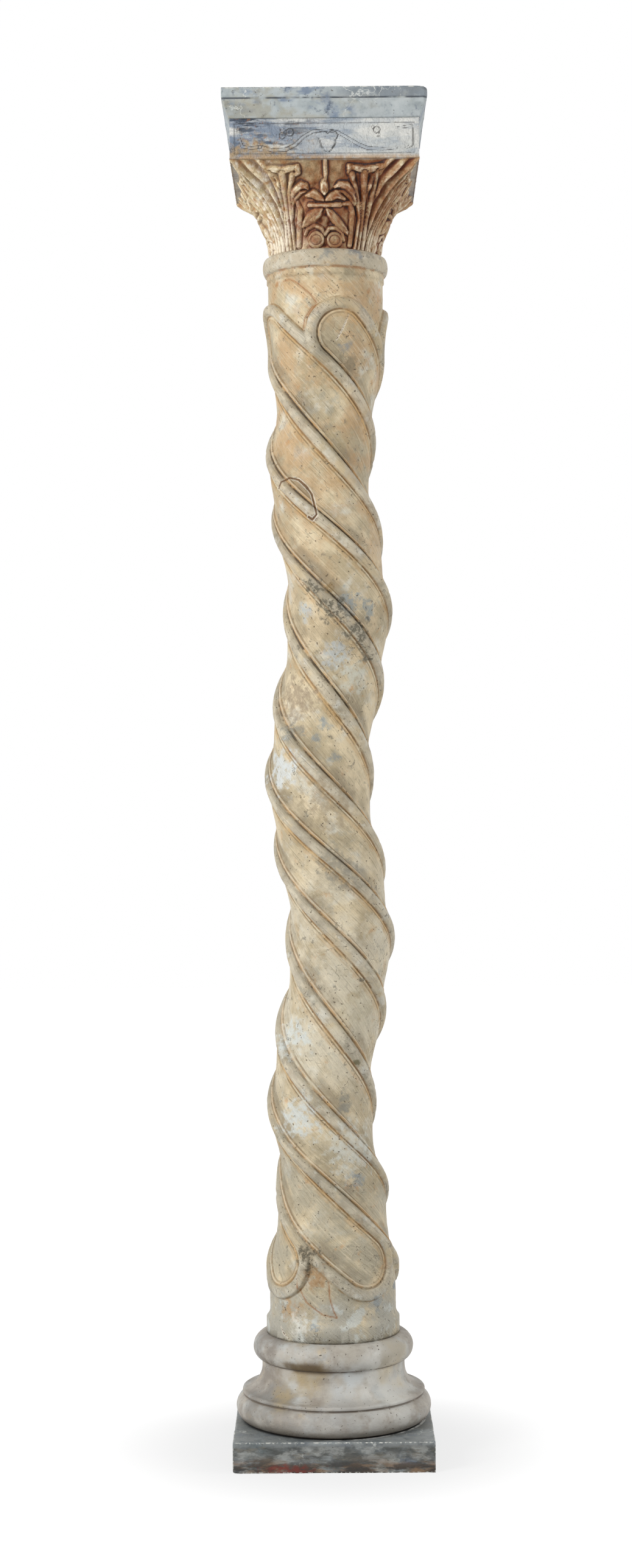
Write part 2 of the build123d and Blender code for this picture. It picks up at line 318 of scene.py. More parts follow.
def use_tree(piece, tree, values):
    """Adds a Geometry Nodes modifier with its named inputs set."""
    modifier = piece.modifiers.new(tree.name, "NODES")
    modifier.node_group = tree
    for item in tree.interface.items_tree:
        if item.in_out == "INPUT" and item.name in values:
            modifier[item.identifier] = values[item.name]
    return modifier


def finish_piece(piece, node):
    """The piece stands for its CAD stone: it hangs on the root body, and the CAD stone is hidden."""
    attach(piece, "root")
    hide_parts(node)


def close_and_finish(piece, stone, node):
    """Welds the poles of a plain skin, gives it its stone and finishes it."""
    weld = piece.modifiers.new("Weld", "WELD")
    weld.merge_threshold = 1e-5
    baked(piece, [weld])
    piece.data.materials.append(stone)
    finish_piece(piece, node)


# The shaft's form


def rib_angle(z, rib):
    """The angle at which a rib's crest line stands at each height."""
    return RIB_START + (CAPITAL_FOOT - z) * 360.0 / RIB_PITCH - rib * 360.0 / RIB_COUNT


def sway_at(z):
    """How far the core's middle lies off the column's axis at each height."""
    return CORE_SWAY * between(CAPITAL_FOOT - z, *TOP_SWAY) * between(z - BASE_HEAD, *BOTTOM_SWAY)


def core_centre(z):
    """Where the middle of the swaying core lies at each height."""
    swing = np.radians(rib_angle(z, SWAY_RIB) - 90.0)
    return sway_at(z) * np.cos(swing), sway_at(z) * np.sin(swing)


def core_radius_at(z):
    """The core's radius at each height. It swells into the neck and the foot."""
    neck = (NECK_RADIUS - CORE_RADIUS) * between(CAPITAL_FOOT - z, *TOP_SWELL)
    return CORE_RADIUS + neck + (FOOT_RADIUS - CORE_RADIUS) * between(z - BASE_HEAD, *BOTTOM_SWELL)


def rib_net(angle, z):
    """For each point: how far it is from the nearest rib's crest line, how much it lies on that rib's upper
    side, from 0 to 1, and whether it lies outside the bands. Round a band's end the sides change over."""
    side = np.where(z > 0.5 * (TOP_LOOP + BOTTOM_LOOP), 1.0, -1.0)
    centre_z = np.where(side > 0.0, TOP_LOOP, BOTTOM_LOOP)
    per_degree = np.radians(core_radius_at(centre_z))
    slope = np.arctan2(RIB_PITCH / 360.0, per_degree)
    reach = 0.5 * RIB_PITCH / RIB_COUNT * np.cos(slope)
    first = rib_angle(centre_z, 0) - side * 180.0 / RIB_COUNT
    lean = np.arctan2(RIB_PITCH / 360.0, np.radians(core_radius_at(z)))
    stretch = 1.0 + (np.cos(lean) / np.cos(slope) - 1.0) * between(np.abs(z - centre_z), 60.0, 300.0)
    distance = np.full(z.shape, 1e6)
    above = np.zeros(z.shape)
    outside = np.ones(z.shape, bool)
    turns = int((TOP_LOOP - BOTTOM_LOOP) / RIB_PITCH) + 2
    for k in range(-RIB_COUNT * turns, RIB_COUNT * turns):
        x = (angle - first - 360.0 / RIB_COUNT * k) * per_degree
        y = z - centre_z
        beyond = side * (y * np.sin(slope) - x * np.cos(slope))
        across = side * (x * np.sin(slope) + y * np.cos(slope))
        ring = np.hypot(beyond, across)
        signed = np.where(beyond > 0.0, ring, across) - reach
        closer = np.abs(signed) < distance
        distance = np.where(closer, np.abs(signed), distance)
        round_end = np.arctan2(np.maximum(beyond, 0.0), across) / math.pi
        above = np.where(closer, np.where(signed > 0.0, 1.0, round_end), above)
        outside &= ~(((np.abs(across) < reach) & (beyond <= 0.0)) | (ring < reach))
    return distance * stretch, np.where(side > 0.0, above, 1.0 - above), outside


def shaft_radius(angle, z):
    """The shaft's radius about its swaying core, carving and turned ends included."""
    distance, upper, outside = rib_net(angle, z)
    above, below, plain = (np.interp(distance, *zip(*section))
                           for section in (UPPER_SECTION, LOWER_SECTION, PLAIN_SECTION))
    twisted = core_radius_at(z) + np.where(outside, plain, below + (above - below) * upper)
    twisted -= 1.3 * ridge(cut_lines(angle, z), 0.9)
    bead = (z - BEAD_FOOT) / (CAPITAL_FOOT - BEAD_FOOT) * 2.0 - 1.0
    bead_radius = NECK_FILLET_RADIUS + (BEAD_RADIUS - NECK_FILLET_RADIUS) * dome(bead)
    curve = (FOOT_CURVE_HEAD - z) / (FOOT_CURVE_HEAD - COLLAR_HEAD)
    foot_radius = FOOT_RADIUS + (COLLAR_RADIUS - FOOT_RADIUS) * np.clip(curve, 0.0, 1.0) ** 2
    radius = np.where(z > NECK_FILLET_FOOT, NECK_FILLET_RADIUS, twisted)
    radius = np.where(z > BEAD_FOOT, bead_radius, radius)
    radius = np.where(z < FOOT_CURVE_HEAD, np.maximum(twisted, foot_radius), radius)
    return np.where(z < COLLAR_HEAD, COLLAR_RADIUS, radius)


def cut_lines(angle, z):
    """How far each point is from the nearest chiselled line, in millimetres."""
    nearest = np.full(angle.shape, 1e3)
    per_degree = math.radians(NECK_RADIUS)
    centred = (angle + 180.0) % 360.0 - 180.0
    for line in CUT_LINES:
        course = [(turn * per_degree, BASE_HEAD + up, 1.0) for turn, up in line]
        levels = [point[1] for point in course]
        there = (z > min(levels) - 8.0) & (z < max(levels) + 8.0)
        nearest[there] = np.minimum(nearest[there], off_course(centred[there] * per_degree, z[there], course))
    return nearest


def scars(points):
    """How deep each point lies in a scar of the front, from 0 to 1."""
    deepest = np.zeros(len(points))
    for half_width, *line in SCARS:
        away = off_course(points[:, 0], points[:, 2], [(across, up, half_width) for across, up in line])
        deepest = np.where(points[:, 1] < 0.0, np.maximum(deepest, ridge(away, 1.0)), deepest)
    return deepest


def twisted_shaft_tree():
    """Rolls a flat skin into the twisted shaft: X is the angle in degrees, Y the height, Z the radius."""
    tree = new_group("Twisted shaft", {"Skin": "Geometry", "Pitch": "Float", "Start angle": "Float",
                                       "Head": "Float", "Stone": "Material"}, "Shaft")
    given = add(tree, "NodeGroupInput")
    flat = add(tree, "ShaderNodeSeparateXYZ", {0: add(tree, "GeometryNodeInputPosition")[0]})
    sway = add(tree, "GeometryNodeInputNamedAttribute", {"Name": "sway"}, data_type="FLOAT")[0]
    drop = add(tree, MATH, {0: given["Head"], 1: flat[1]}, operation="SUBTRACT")[0]
    turns = add(tree, MATH, {0: drop, 1: given["Pitch"]}, operation="DIVIDE")[0]
    swung = add(tree, MATH, {0: turns, 1: 360.0, 2: given["Start angle"]}, operation="MULTIPLY_ADD")[0]
    ends = []
    for turn, reach in ((swung, sway), (flat[0], flat[2])):
        facing = add(tree, MATH, {0: turn, 1: 90.0}, operation="SUBTRACT")[0]
        radians = add(tree, MATH, {0: facing}, operation="RADIANS")[0]
        for operation in ("COSINE", "SINE"):
            wave = add(tree, MATH, {0: radians}, operation=operation)[0]
            ends.append(add(tree, MATH, {0: wave, 1: reach}, operation="MULTIPLY")[0])
    x, y = (add(tree, MATH, {0: ends[i], 1: ends[i + 2]}, operation="ADD")[0] for i in (0, 1))
    rolled = add(tree, "ShaderNodeCombineXYZ", {0: x, 1: y, 2: flat[1]})[0]
    moved = add(tree, "GeometryNodeSetPosition", {"Geometry": given["Skin"], "Position": rolled})[0]
    return close_group(tree, moved, 1e-5, given["Stone"])


def shaft_wear(points, distance):
    """Dents and lost stone, as a change of radius: soft waves all over, and small chips on the rolls."""
    chips = losses(points, 4, (5.0, 14.0, 0.62), (4.0, 6.0, 0.7))
    return waves(points, 1, (0.35, 60.0), (0.22, 17.0), (0.12, 6.0)) - ridge(distance, 7.0) * chips


def flat_shaft():
    """The shaft's skin before it is rolled up: the angle, height and radius of each point, carved and worn.
    Its first and last rows lie on the axis."""
    columns = int(2.0 * math.pi * FOOT_RADIUS / SKIN_STEP)
    heights = np.linspace(BASE_HEAD, CAPITAL_FOOT, int((CAPITAL_FOOT - BASE_HEAD) / SKIN_STEP))
    steps = np.array([COLLAR_HEAD, FOOT_CURVE_HEAD, NECK_FILLET_FOOT, BEAD_FOOT])
    heights = np.sort(np.concatenate([heights, steps - 0.2, steps + 0.2]))
    angle, z = np.meshgrid(np.arange(columns) * 360.0 / columns, heights)
    radius = shaft_radius(angle, z)
    turn = np.radians(angle - 90.0)
    centre = core_centre(z)
    rough = np.stack([radius * np.cos(turn) + centre[0], radius * np.sin(turn) + centre[1], z], axis=-1)
    rough = rough.reshape(-1, 3)
    wear = shaft_wear(rough, rib_net(angle, z)[0].ravel()) - 1.2 * scars(rough)
    radius = np.minimum(radius + wear.reshape(radius.shape), COLLAR_RADIUS)
    flat = np.stack([angle, z, radius], axis=-1)
    on_axis = np.array([1.0, 1.0, 0.0])
    return np.concatenate([flat[:1] * on_axis, flat, flat[-1:] * on_axis])


def mark_shaft(mesh):
    """Keeps at each point of the finished shaft what its marble has to know of the carving."""
    points = corners(mesh)
    z = np.clip(points[:, 2], BASE_HEAD, CAPITAL_FOOT)
    centre = core_centre(z)
    angle = (np.degrees(np.arctan2(points[:, 1] - centre[1], points[:, 0] - centre[0])) + 90.0) % 360.0
    distance, upper, outside = rib_net(angle, z)
    ended = (z < FOOT_CURVE_HEAD) | (z > NECK_FILLET_FOOT)
    # the surface as it would be with its twist undone, so that tool marks and streaks run along the ribs
    undone = np.radians(angle - rib_angle(z, 0))
    unwound = np.stack([FOOT_RADIUS * np.cos(undone), FOOT_RADIUS * np.sin(undone), 0.12 * z], axis=-1)
    for name, values in (("from_rib", np.where(ended, 100.0, distance)), ("upper_side", upper),
                         ("plain", np.where(ended, 1.0, outside * 1.0)), ("scar", scars(points)),
                         ("cut", ridge(cut_lines(angle, z), 1.1)), ("unwound", unwound * MM)):
        store(mesh, name, values)


def make_shaft(stone):
    """The shaft: its flat skin, rolled up by Geometry Nodes and thinned."""
    flat = flat_shaft()
    mesh = skin("shaft_carved", flat, True)
    store(mesh, "sway", sway_at(flat[..., 1]) * MM)
    # the flat skin's angle stays in degrees, while its height and radius become metres
    set_points(mesh, flat, np.array([1.0, MM, MM]))
    piece = show("shaft_carved", mesh)
    roll = use_tree(piece, twisted_shaft_tree(), {
        "Pitch": RIB_PITCH * MM, "Start angle": RIB_START - SWAY_RIB * 360.0 / RIB_COUNT,
        "Head": CAPITAL_FOOT * MM, "Stone": stone})
    thin = piece.modifiers.new("Thin", "DECIMATE")
    thin.ratio = min(1.0, SHAFT_TRIANGLES / (2.0 * len(mesh.polygons)))
    baked(piece, [roll, thin])
    mark_shaft(piece.data)
    finish_piece(piece, "shaft")


# The turned base and the squared slabs


def arc(centre, radius, first, last, count):
    """Points (radius, height) of a moulding's arc, given by its two angles in degrees."""
    turns = np.radians(np.linspace(first, last, count))
    return [(centre[0] + radius[0] * math.cos(t), centre[1] + radius[1] * math.sin(t)) for t in turns]


def base_profile():
    """The base from its bed up: a wide roll, a fillet, a deep hollow, a fillet and a smaller roll."""
    foot = PLINTH_HEAD
    lower, upper = LOWER_ROLL / 2.0, UPPER_ROLL / 2.0
    points = [(r, foot) for r in (0.0, 60.0, 110.0, 125.0)]
    points += arc((LOWER_ROLL_RADIUS - lower, foot + lower), (lower, lower), -90.0, 56.0, 36)
    points += [(r, foot + up) for r, up in ((143.4, 41.6), (142.0, 42.6), (142.0, 43.4), (144.0, 44.2),
                                            (144.8, 45.2), (144.8, 47.6), (144.2, 49.0), (142.6, 49.6))]
    points += arc((143.0, foot + 85.0), (30.0, 35.0), 268.0, 180.0, 26)
    points += [(r, foot + up) for r, up in ((113.0, 90.0), (113.0, 94.5), (112.4, 97.0), (113.6, 98.6))]
    points += arc((UPPER_ROLL_RADIUS - upper, BASE_HEAD - upper), (upper, upper), -50.0, 90.0, 32)
    return points + [(r, BASE_HEAD) for r in (92.0, 50.0, 0.0)]


def make_base(stone):
    """The base: its profile turned round the axis, then worn."""
    columns = 320
    profile = np.array(base_profile())
    angle = np.radians(np.arange(columns) * 360.0 / columns - 90.0)
    radius = profile[:, :1]
    points = np.stack([radius * np.cos(angle), radius * np.sin(angle),
                       np.repeat(profile[:, 1:], columns, axis=1)], axis=-1)
    flat = points.reshape(-1, 3)
    wear = waves(flat, 11, (0.5, 45.0), (0.25, 12.0), (0.12, 5.0)) - losses(flat, 14, (2.2, 9.0, 0.68))
    side = (flat[:, 2] > PLINTH_HEAD + 0.5) & (flat[:, 2] < BASE_HEAD - 0.5)
    reach = np.hypot(flat[:, 0], flat[:, 1])
    worn = np.where(side, np.minimum(reach + wear - 0.35, LOWER_ROLL_RADIUS), reach)
    flat[:, :2] *= (worn / np.maximum(reach, 1e-6))[:, None]
    close_and_finish(show("base_turned", skin("base_turned", points, True)), stone, "base")


def clustered(count, reach):
    """Steps from -reach to reach that crowd together towards both ends, where an arris needs them."""
    return reach * np.sin(np.linspace(-1.0, 1.0, count) * math.pi / 2.0)


def make_slab(name, node, stone, sides, chips, arris, seed):
    """A squared slab with chipped arrises. Sides gives its half width over its height, from foot to head, and
    chips are the places and reaches of larger losses. Arris is how far its edges are rounded all along."""
    heights, halves = zip(*sides)
    foot, head, half = heights[0], heights[-1], halves[-1]
    side = clustered(120, 1.0)[:-1]
    edge = np.ones_like(side)
    ring = np.concatenate([np.stack(pair, axis=-1) for pair in (
        (side, -edge), (edge, side), (-side, edge), (-edge, -side))])
    middle, half_rise = (head + foot) / 2.0, (head - foot) / 2.0
    rise = middle + clustered(44, half_rise)
    inward = (0.0, 0.4, 0.8, 0.93, 0.97, 0.985, 0.995)
    rows = [(share, foot) for share in inward] + [(1.0, z) for z in rise]
    rows += [(share, head) for share in inward[::-1]]
    points = np.array([[(x * share * half, y * share * half, z) for x, y in ring] for share, z in rows])
    flat = points.reshape(-1, 3)
    bite = losses(flat, seed, (3.2, 11.0, 0.35), (7.0, 31.0, 0.5), (0.6, 4.0, 0.0))
    for spot, reach in chips:
        bite += reach * ridge(np.linalg.norm(flat - np.array(spot), axis=1), reach)
    round_off = (arris + bite)[:, None]
    low = np.array([-half, -half, foot]) + round_off
    high = np.array([half, half, head]) - round_off
    inside = np.clip(flat, low, high)
    out = flat - inside
    length = np.maximum(np.linalg.norm(out, axis=1, keepdims=True), 1e-9)
    flat[:] = np.where(length > 1e-6, inside + out / length * np.minimum(length, round_off), flat)
    flat[:, :2] *= (np.interp(flat[:, 2], heights, halves) / half)[:, None]
    inner = np.abs(flat[:, 2] - middle) < half_rise - 0.01
    sunk = 0.3 + waves(flat, seed + 3, (0.3, 35.0), (0.15, 8.0))
    flat[inner, :2] *= (1.0 - np.clip(sunk, 0.0, 2.0) / half)[inner, None]
    piece = show(name, skin(name, points, True))
    gaps = np.sort(np.stack([half - np.abs(flat[:, 0]), half - np.abs(flat[:, 1]),
                             half_rise - np.abs(flat[:, 2] - middle)], axis=-1), axis=1)
    store(piece.data, "arris", np.exp(-np.maximum(gaps[:, 1] - arris, 0.0) / 1.6))
    close_and_finish(piece, stone, node)


# The capital's carving. Across is measured from the middle of a face and up from the neck, in millimetres.
# Each course is a list of points (across, up, half width), and then comes how far it stands out.
LEAVES = (
    (((-30.4, 23, 2.5), (-27, 31, 3), (-16.2, 36, 3.2), (-5, 30.5, 3), (0.2, 22, 3)), 3.6),
    (((0.2, 22, 3), (6.1, 30.5, 3), (16.7, 32, 3.2), (26.1, 25.3, 3), (28.8, 14, 2.5)), 3.6),
    (((-4.2, 59, 2), (-12, 54, 8), (-20.5, 47.5, 9.5), (-29, 40, 6), (-34, 34.5, 1.5)), 5.2),
    (((2.4, 60, 1.5), (8, 53, 5.5), (16.5, 43.5, 7), (28.5, 31.5, 5.5), (39, 20.5, 1.5)), 5.2),
    (((-24, 65, 3.2), (0.5, 64, 3.2), (24, 65.2, 3.2)), 5.5),
    (((-42.8, 70, 3), (-37.5, 57.9, 4), (-39.7, 36.3, 4.5), (-41, 7, 4)), 3.2),
    (((28.7, 66, 2.5), (38.5, 67.5, 4), (42.7, 55, 4), (40.5, 36, 3.8), (38, 7, 3.5)), 3.6),
    (((-29, 78, 2), (-17.5, 80.5, 6), (-9, 76, 6), (-2, 71.5, 2)), 5.4),
    (((2, 71.5, 2), (9.5, 76, 6), (18, 79.5, 6.2), (30.5, 73.5, 2)), 5.4),
    (((-1.5, 101, 1), (-1.2, 93, 6.2), (-0.8, 86, 6.4), (-0.5, 80.5, 2.5)), 7),
    (((1, 125, 3.6), (1.2, 108, 3.4), (1.3, 99, 2)), 4.6),
    (((-51.5, 50, 3.5), (-51.5, 72, 4.6), (-46, 86, 5.6), (-36.5, 93, 5.6), (-29, 92, 4),
     (-25, 87.5, 1.2)), 7.6), (((-49, 66, 1.5), (-45, 75.5, 3), (-37, 82.5, 3.4), (-29.5, 84.5, 1.4)), 4.6),
    (((56, 44, 3.2), (53.5, 62, 4.6), (46, 79, 5.6), (34, 91.5, 6), (23, 93.5, 4.4), (15.5, 89.5, 1.2)),
     7.6), (((45, 66, 1.5), (38.5, 76.5, 3.2), (30, 83, 3.2), (22.5, 84.5, 1.2)), 4.6),
    (((-86, 117, 3), (-75, 115.5, 4), (-64.5, 113, 5.4), (-53, 115.5, 4.4), (-41.5, 117.5, 3.6)), 7),
    (((-41.5, 118, 3.4), (-41, 110.5, 4.4), (-44.5, 106, 1.8)), 6.4),
    (((37.5, 117.5, 3.6), (48, 116, 4.2), (61.5, 113.5, 5.4), (75, 116, 4), (88, 119, 3)), 7),
    (((37.5, 118, 3.4), (38.5, 110, 4.6), (43, 103.5, 1.8)), 6.4),
    (((-84.3, 112, 3.5), (-70.5, 88, 3.4), (-60.5, 58, 2.8), (-56.4, 2, 2.4)), 5),
    (((-65.5, 110, 6), (-61, 82, 4.2), (-55.9, 47.2, 2.6), (-51.5, 2, 2.2)), 4.6),
    (((-49.5, 108, 5), (-54.4, 84, 3.2), (-51, 47.2, 2.4), (-46, 2, 2.2)), 4.6),
    (((41.5, 108, 5), (49.8, 79.1, 3.2), (52.5, 47.2, 2.4), (44.8, 2, 2.2)), 4.6),
    (((61.5, 110, 6), (60, 79.1, 4), (57, 47.2, 2.6), (50, 2, 2.2)), 4.6),
    (((81, 113, 3.6), (73.3, 82, 3.2), (63.2, 47.2, 2.8), (56, 2, 2.4)), 5),
)
# The flat marble eyes at the foot of a face: across, up, radius
EYES = ((-13.4, 14.5, 12.6), (14.6, 14, 12.2))
# Where the chisel and drill went deepest: across, up, radius, depth
DRILLED = ((-6.5, 41, 4, 4), (6.5, 38, 4.5, 4), (0.5, 50, 3, 3), (-13.5, 93, 5, 2.5), (13, 84, 4, 3),
    (-33, 72, 4, 3), (33, 60, 4, 3), (-40, 99, 5, 2), (72, 100, 5, 5), (48.5, 99, 4, 4), (-75, 102, 5, 3),
    (0, 6, 4, 3), (-27, 4, 4, 2))
# Frieze: up is measured from the foot of the block
VINE = ((-98.6, 18.7, 2), (-80.1, 12.9, 2.1), (-59.2, 14, 2.1), (-45.2, 21, 2), (-31.2, 34, 1.8),
    (-17.2, 41.6, 1.8), (3.7, 43.4, 1.7), (19.9, 40.7, 1.7), (33.8, 32.6, 1.8), (52.2, 21, 2),
    (66.1, 15.2, 2), (89.3, 14, 1.7), (110.2, 15.2, 1.2))
BRACKETS = (((-103, 50.5, 1), (-119.2, 49.7, 1.2), (-132.3, 47.5, 1.4), (-131.3, 32.6, 1.5),
    (-126, 19, 1.7), (-112.5, 16.4, 1.7), (-98.6, 18.7, 1.8)), ((110.4, 46, 0.9), (122, 47.5, 1.2),
    (133.5, 49, 1.4), (133.5, 19.5, 1.4), (124.1, 14.5, 1)))
IVY_LEAF = ((-9, 36.5, 3.6), (-1.5, 35, 6.5), (5, 26, 11), (5.4, 17, 6), (5.8, 11.3, 1))
IVY_EARS = ((-2.5, 34.5, 7), (12.6, 35, 7))
TREFOILS = ((-64.4, 35.5, 4.4), (-53, 40.5, 5.4), (-64, 43.9, 3), (-52, 31.5, 3), (80.3, 43.6, 4.6),
    (74.5, 47, 2.6), (82.5, 36, 2.6))


def bell_relief(across, up, corner):
    """How far the carving stands out of the bell at each point of a face. Corner is the bell's half width."""
    share = up / BELL_HEIGHT
    relief = np.zeros(across.shape)
    # the corner leaf: flutes that run from the neck up into the block's corner, either side of its spine
    leaf_width = 6.0 + 49.0 * share ** 1.25
    flow = np.clip((corner - np.abs(across)) / leaf_width, 0.0, 1.6)
    flutes = 4.4 * np.cos(2.0 * math.pi * flow * 2.5) * (1.0 - 0.2 * share)
    lobes = 1.5 * np.cos(up * 0.2 + flow * 7.0) * between(share, 0.35, 0.75) * between(flow, 0.1, 0.4)
    leaf = (3.4 + flutes + lobes) * (0.25 + 0.75 * between(share, 0.0, 0.4))
    relief = np.where(flow < 1.0, leaf * between(flow, 1.02, 0.86), relief)
    for course, height in LEAVES:
        t = off_course(across, up, course)
        crown = height * dome(t, 2.4) - 1.5 * ridge(t, 0.28) * (height > 5.0)
        relief = np.where(t < 1.0, np.maximum(relief * 0.3, crown), relief)
        relief -= 1.1 * ridge(t - 1.25, 0.22)
    for x, y, size in EYES:
        t = np.hypot(across - x, up - y) / size
        eye = 5.6 * dome(t, 6.0) - 2.6 * ridge(t - 0.62, 0.16) - 1.2 * ridge(t, 0.3)
        relief = np.where(t < 1.0, np.maximum(eye, 0.4), relief)
    for x, y, size, depth in DRILLED:
        relief -= depth * ridge(np.hypot(across - x, up - y), size)
    return relief


def frieze_relief(across, up):
    """The frieze's shallow carving, sunk into a plain border, and a mask of its outlines for grime and
    painted shade.
    """
    inside = np.minimum(np.minimum(139.0 - np.abs(across), up - 7.0), 55.0 - up)
    relief = -FRIEZE_DEPTH * between(inside, 0.0, 1.6)
    outline = 0.6 * ridge(inside - 0.8, 1.3)
    for course in (VINE,) + BRACKETS:
        t = off_course(across, up, course)
        relief = np.maximum(relief, -FRIEZE_DEPTH + 1.3 * dome(t))
        relief -= 0.6 * ridge(t - 1.35, 0.3)
        outline = np.maximum(outline, 0.85 * ridge(t - 1.35, 0.45))
    for x, y, size in TREFOILS:
        disc = np.hypot(across - x, up - y) / size
        relief = np.where(disc < 1.0, -0.2 - 1.3 * ridge(disc, 0.4), relief)
        outline = np.maximum(outline, ridge(disc - 1.1, 0.2))
    leaf = off_course(across, up, IVY_LEAF)
    for x, y, size in IVY_EARS:
        leaf = np.minimum(leaf, np.hypot(across - x, up - y) / size)
    relief = np.where(leaf < 1.0, -0.1 - 0.5 * leaf, relief)
    outline = np.maximum(outline, ridge(leaf - 1.08, 0.13))
    return relief - 1.2 * ridge(leaf - 1.12, 0.13), outline


def softened(field, passes):
    """The same field, blurred over its rows and columns."""
    for _ in range(passes):
        wide = np.pad(field, 1, mode="edge")
        field = (wide[:-2, 1:-1] + wide[2:, 1:-1] + wide[1:-1, :-2] + wide[1:-1, 2:] + 4.0 * field) / 8.0
    return field


def sunken(field, passes, full):
    """How far each point lies under what is round it, from -1 to 1. More passes look at a wider round."""
    return np.clip((softened(field, passes) - field) / full, -1.0, 1.0)


def carved_bell(across, rows):
    """A face of the bell, from the round neck to the square block, and the relief that stands out of it."""
    share = np.linspace(0.0, 1.0, rows)[:, None]
    radius = NECK_HALF + BELL_GROWTH * share ** 1.5
    square = share ** 3
    corner = radius * (BLOCK_HALF - 1.0) / (NECK_HALF + BELL_GROWTH)
    turn = np.radians(45.0 * across)
    x = (1.0 - square) * radius * np.sin(turn) + square * corner * across
    y = (1.0 - square) * radius * np.cos(turn) + square * (radius + (corner - radius) * across ** 6)
    up = np.repeat(share * BELL_HEIGHT, len(across), axis=1)
    relief = softened(bell_relief(x, up, x[:, -1:]), 1)
    # neighbouring faces share their corner, so both ends of a row stand out by the same
    relief[:, [0, -1]] = relief[:, [0, -1]].mean(axis=1, keepdims=True)
    reach = np.hypot(x, y)
    steep = np.gradient(reach, axis=0) / np.gradient(up, axis=0)
    level_off = between(share, 0.93, 1.0)
    outward = (1.0 - level_off) / np.sqrt(1.0 + steep ** 2) + level_off
    downward = (1.0 - level_off) * steep / np.sqrt(1.0 + steep ** 2)
    moved = (reach + relief * outward) / reach
    bell = np.stack([x * moved, -y * moved, CAPITAL_FOOT + up - relief * downward], axis=-1)
    limit = BLOCK_HALF - 0.5
    bell = np.clip(bell, (-limit, -limit, CAPITAL_FOOT), (limit, limit, BLOCK_FOOT))
    bell[0, :, 2] = CAPITAL_FOOT
    return bell, relief


def carved_block(edge, rows):
    """A face of the block, the carving of its frieze, and a mask of the carving's outlines."""
    rise = np.linspace(0.0, FRIEZE_HEIGHT, rows)[:, None]
    carved, outline = frieze_relief(edge[None, :], rise)
    carved[[0, -1]] = 0.0
    carved = carved - 1.4 * ridge(np.minimum(rise, FRIEZE_HEIGHT - rise), 0.9)
    out = np.maximum(-BLOCK_HALF - carved, -BLOCK_HALF)
    near_side = between(np.abs(edge), 142.0, BLOCK_HALF)
    face = np.stack([np.repeat(edge[None, :], rows, axis=0),
                     out * (1.0 - near_side) - BLOCK_HALF * near_side,
                     BLOCK_FOOT + np.repeat(rise, len(edge), axis=1)], axis=-1)
    return face, carved, outline


def capital_face():
    """The front quarter of the capital: its bed, bell, the block's soffit, the frieze and the top bed. Two
    masks come with it: how hollow the carving is, and the finest creases and outlines in it."""
    columns, bell_rows, frieze_rows = ((171, 92, 40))
    across = np.linspace(-1.0, 1.0, columns)
    edge = BLOCK_HALF * across
    bell, relief = carved_bell(across, bell_rows)
    face, carved, outline = carved_block(edge, frieze_rows)
    lip = np.stack([edge, np.full_like(edge, -BLOCK_HALF), np.full_like(edge, BLOCK_FOOT)], axis=-1)
    soffit = np.stack([bell[-1] + (lip - bell[-1]) * t for t in (0.34, 0.67, 0.97)])
    bed = [bell[:1] * np.array([t, t, 1.0]) for t in (0.0, 0.5)]
    top = [face[-1:] * np.array([t, t, 1.0]) for t in (0.5, 0.0)]
    blank = np.zeros((1, columns))
    masks = [np.concatenate([blank] * 2 + [on_bell] + [blank] * 3 + [on_block] + [blank] * 2)
             for on_bell, on_block in ((sunken(relief, 30, 3.0), sunken(carved, 12, 1.2)),
                                       (sunken(relief, 6, 1.1), outline))]
    return np.concatenate(bed + [bell, soffit, face] + top), masks


def repeated_face_tree():
    """Sets one carved face round the capital as often as it has faces, and joins them into one stone."""
    tree = new_group("Carved faces", {"Face": "Geometry", "Faces": "Int", "Stone": "Material"}, "Capital")
    given = add(tree, "NodeGroupInput")
    count = add(tree, "GeometryNodePoints", {"Count": given["Faces"]})[0]
    turn = add(tree, MATH, {0: 2.0 * math.pi, 1: given["Faces"]}, operation="DIVIDE")[0]
    number = add(tree, "GeometryNodeInputIndex")[0]
    angle = add(tree, MATH, {0: turn, 1: number}, operation="MULTIPLY")[0]
    rotation = add(tree, "ShaderNodeCombineXYZ", {"Z": angle})[0]
    placed = add(tree, "GeometryNodeInstanceOnPoints",
                 {"Points": count, "Instance": given["Face"], "Rotation": rotation})[0]
    return close_group(tree, placed, 2e-5, given["Stone"])


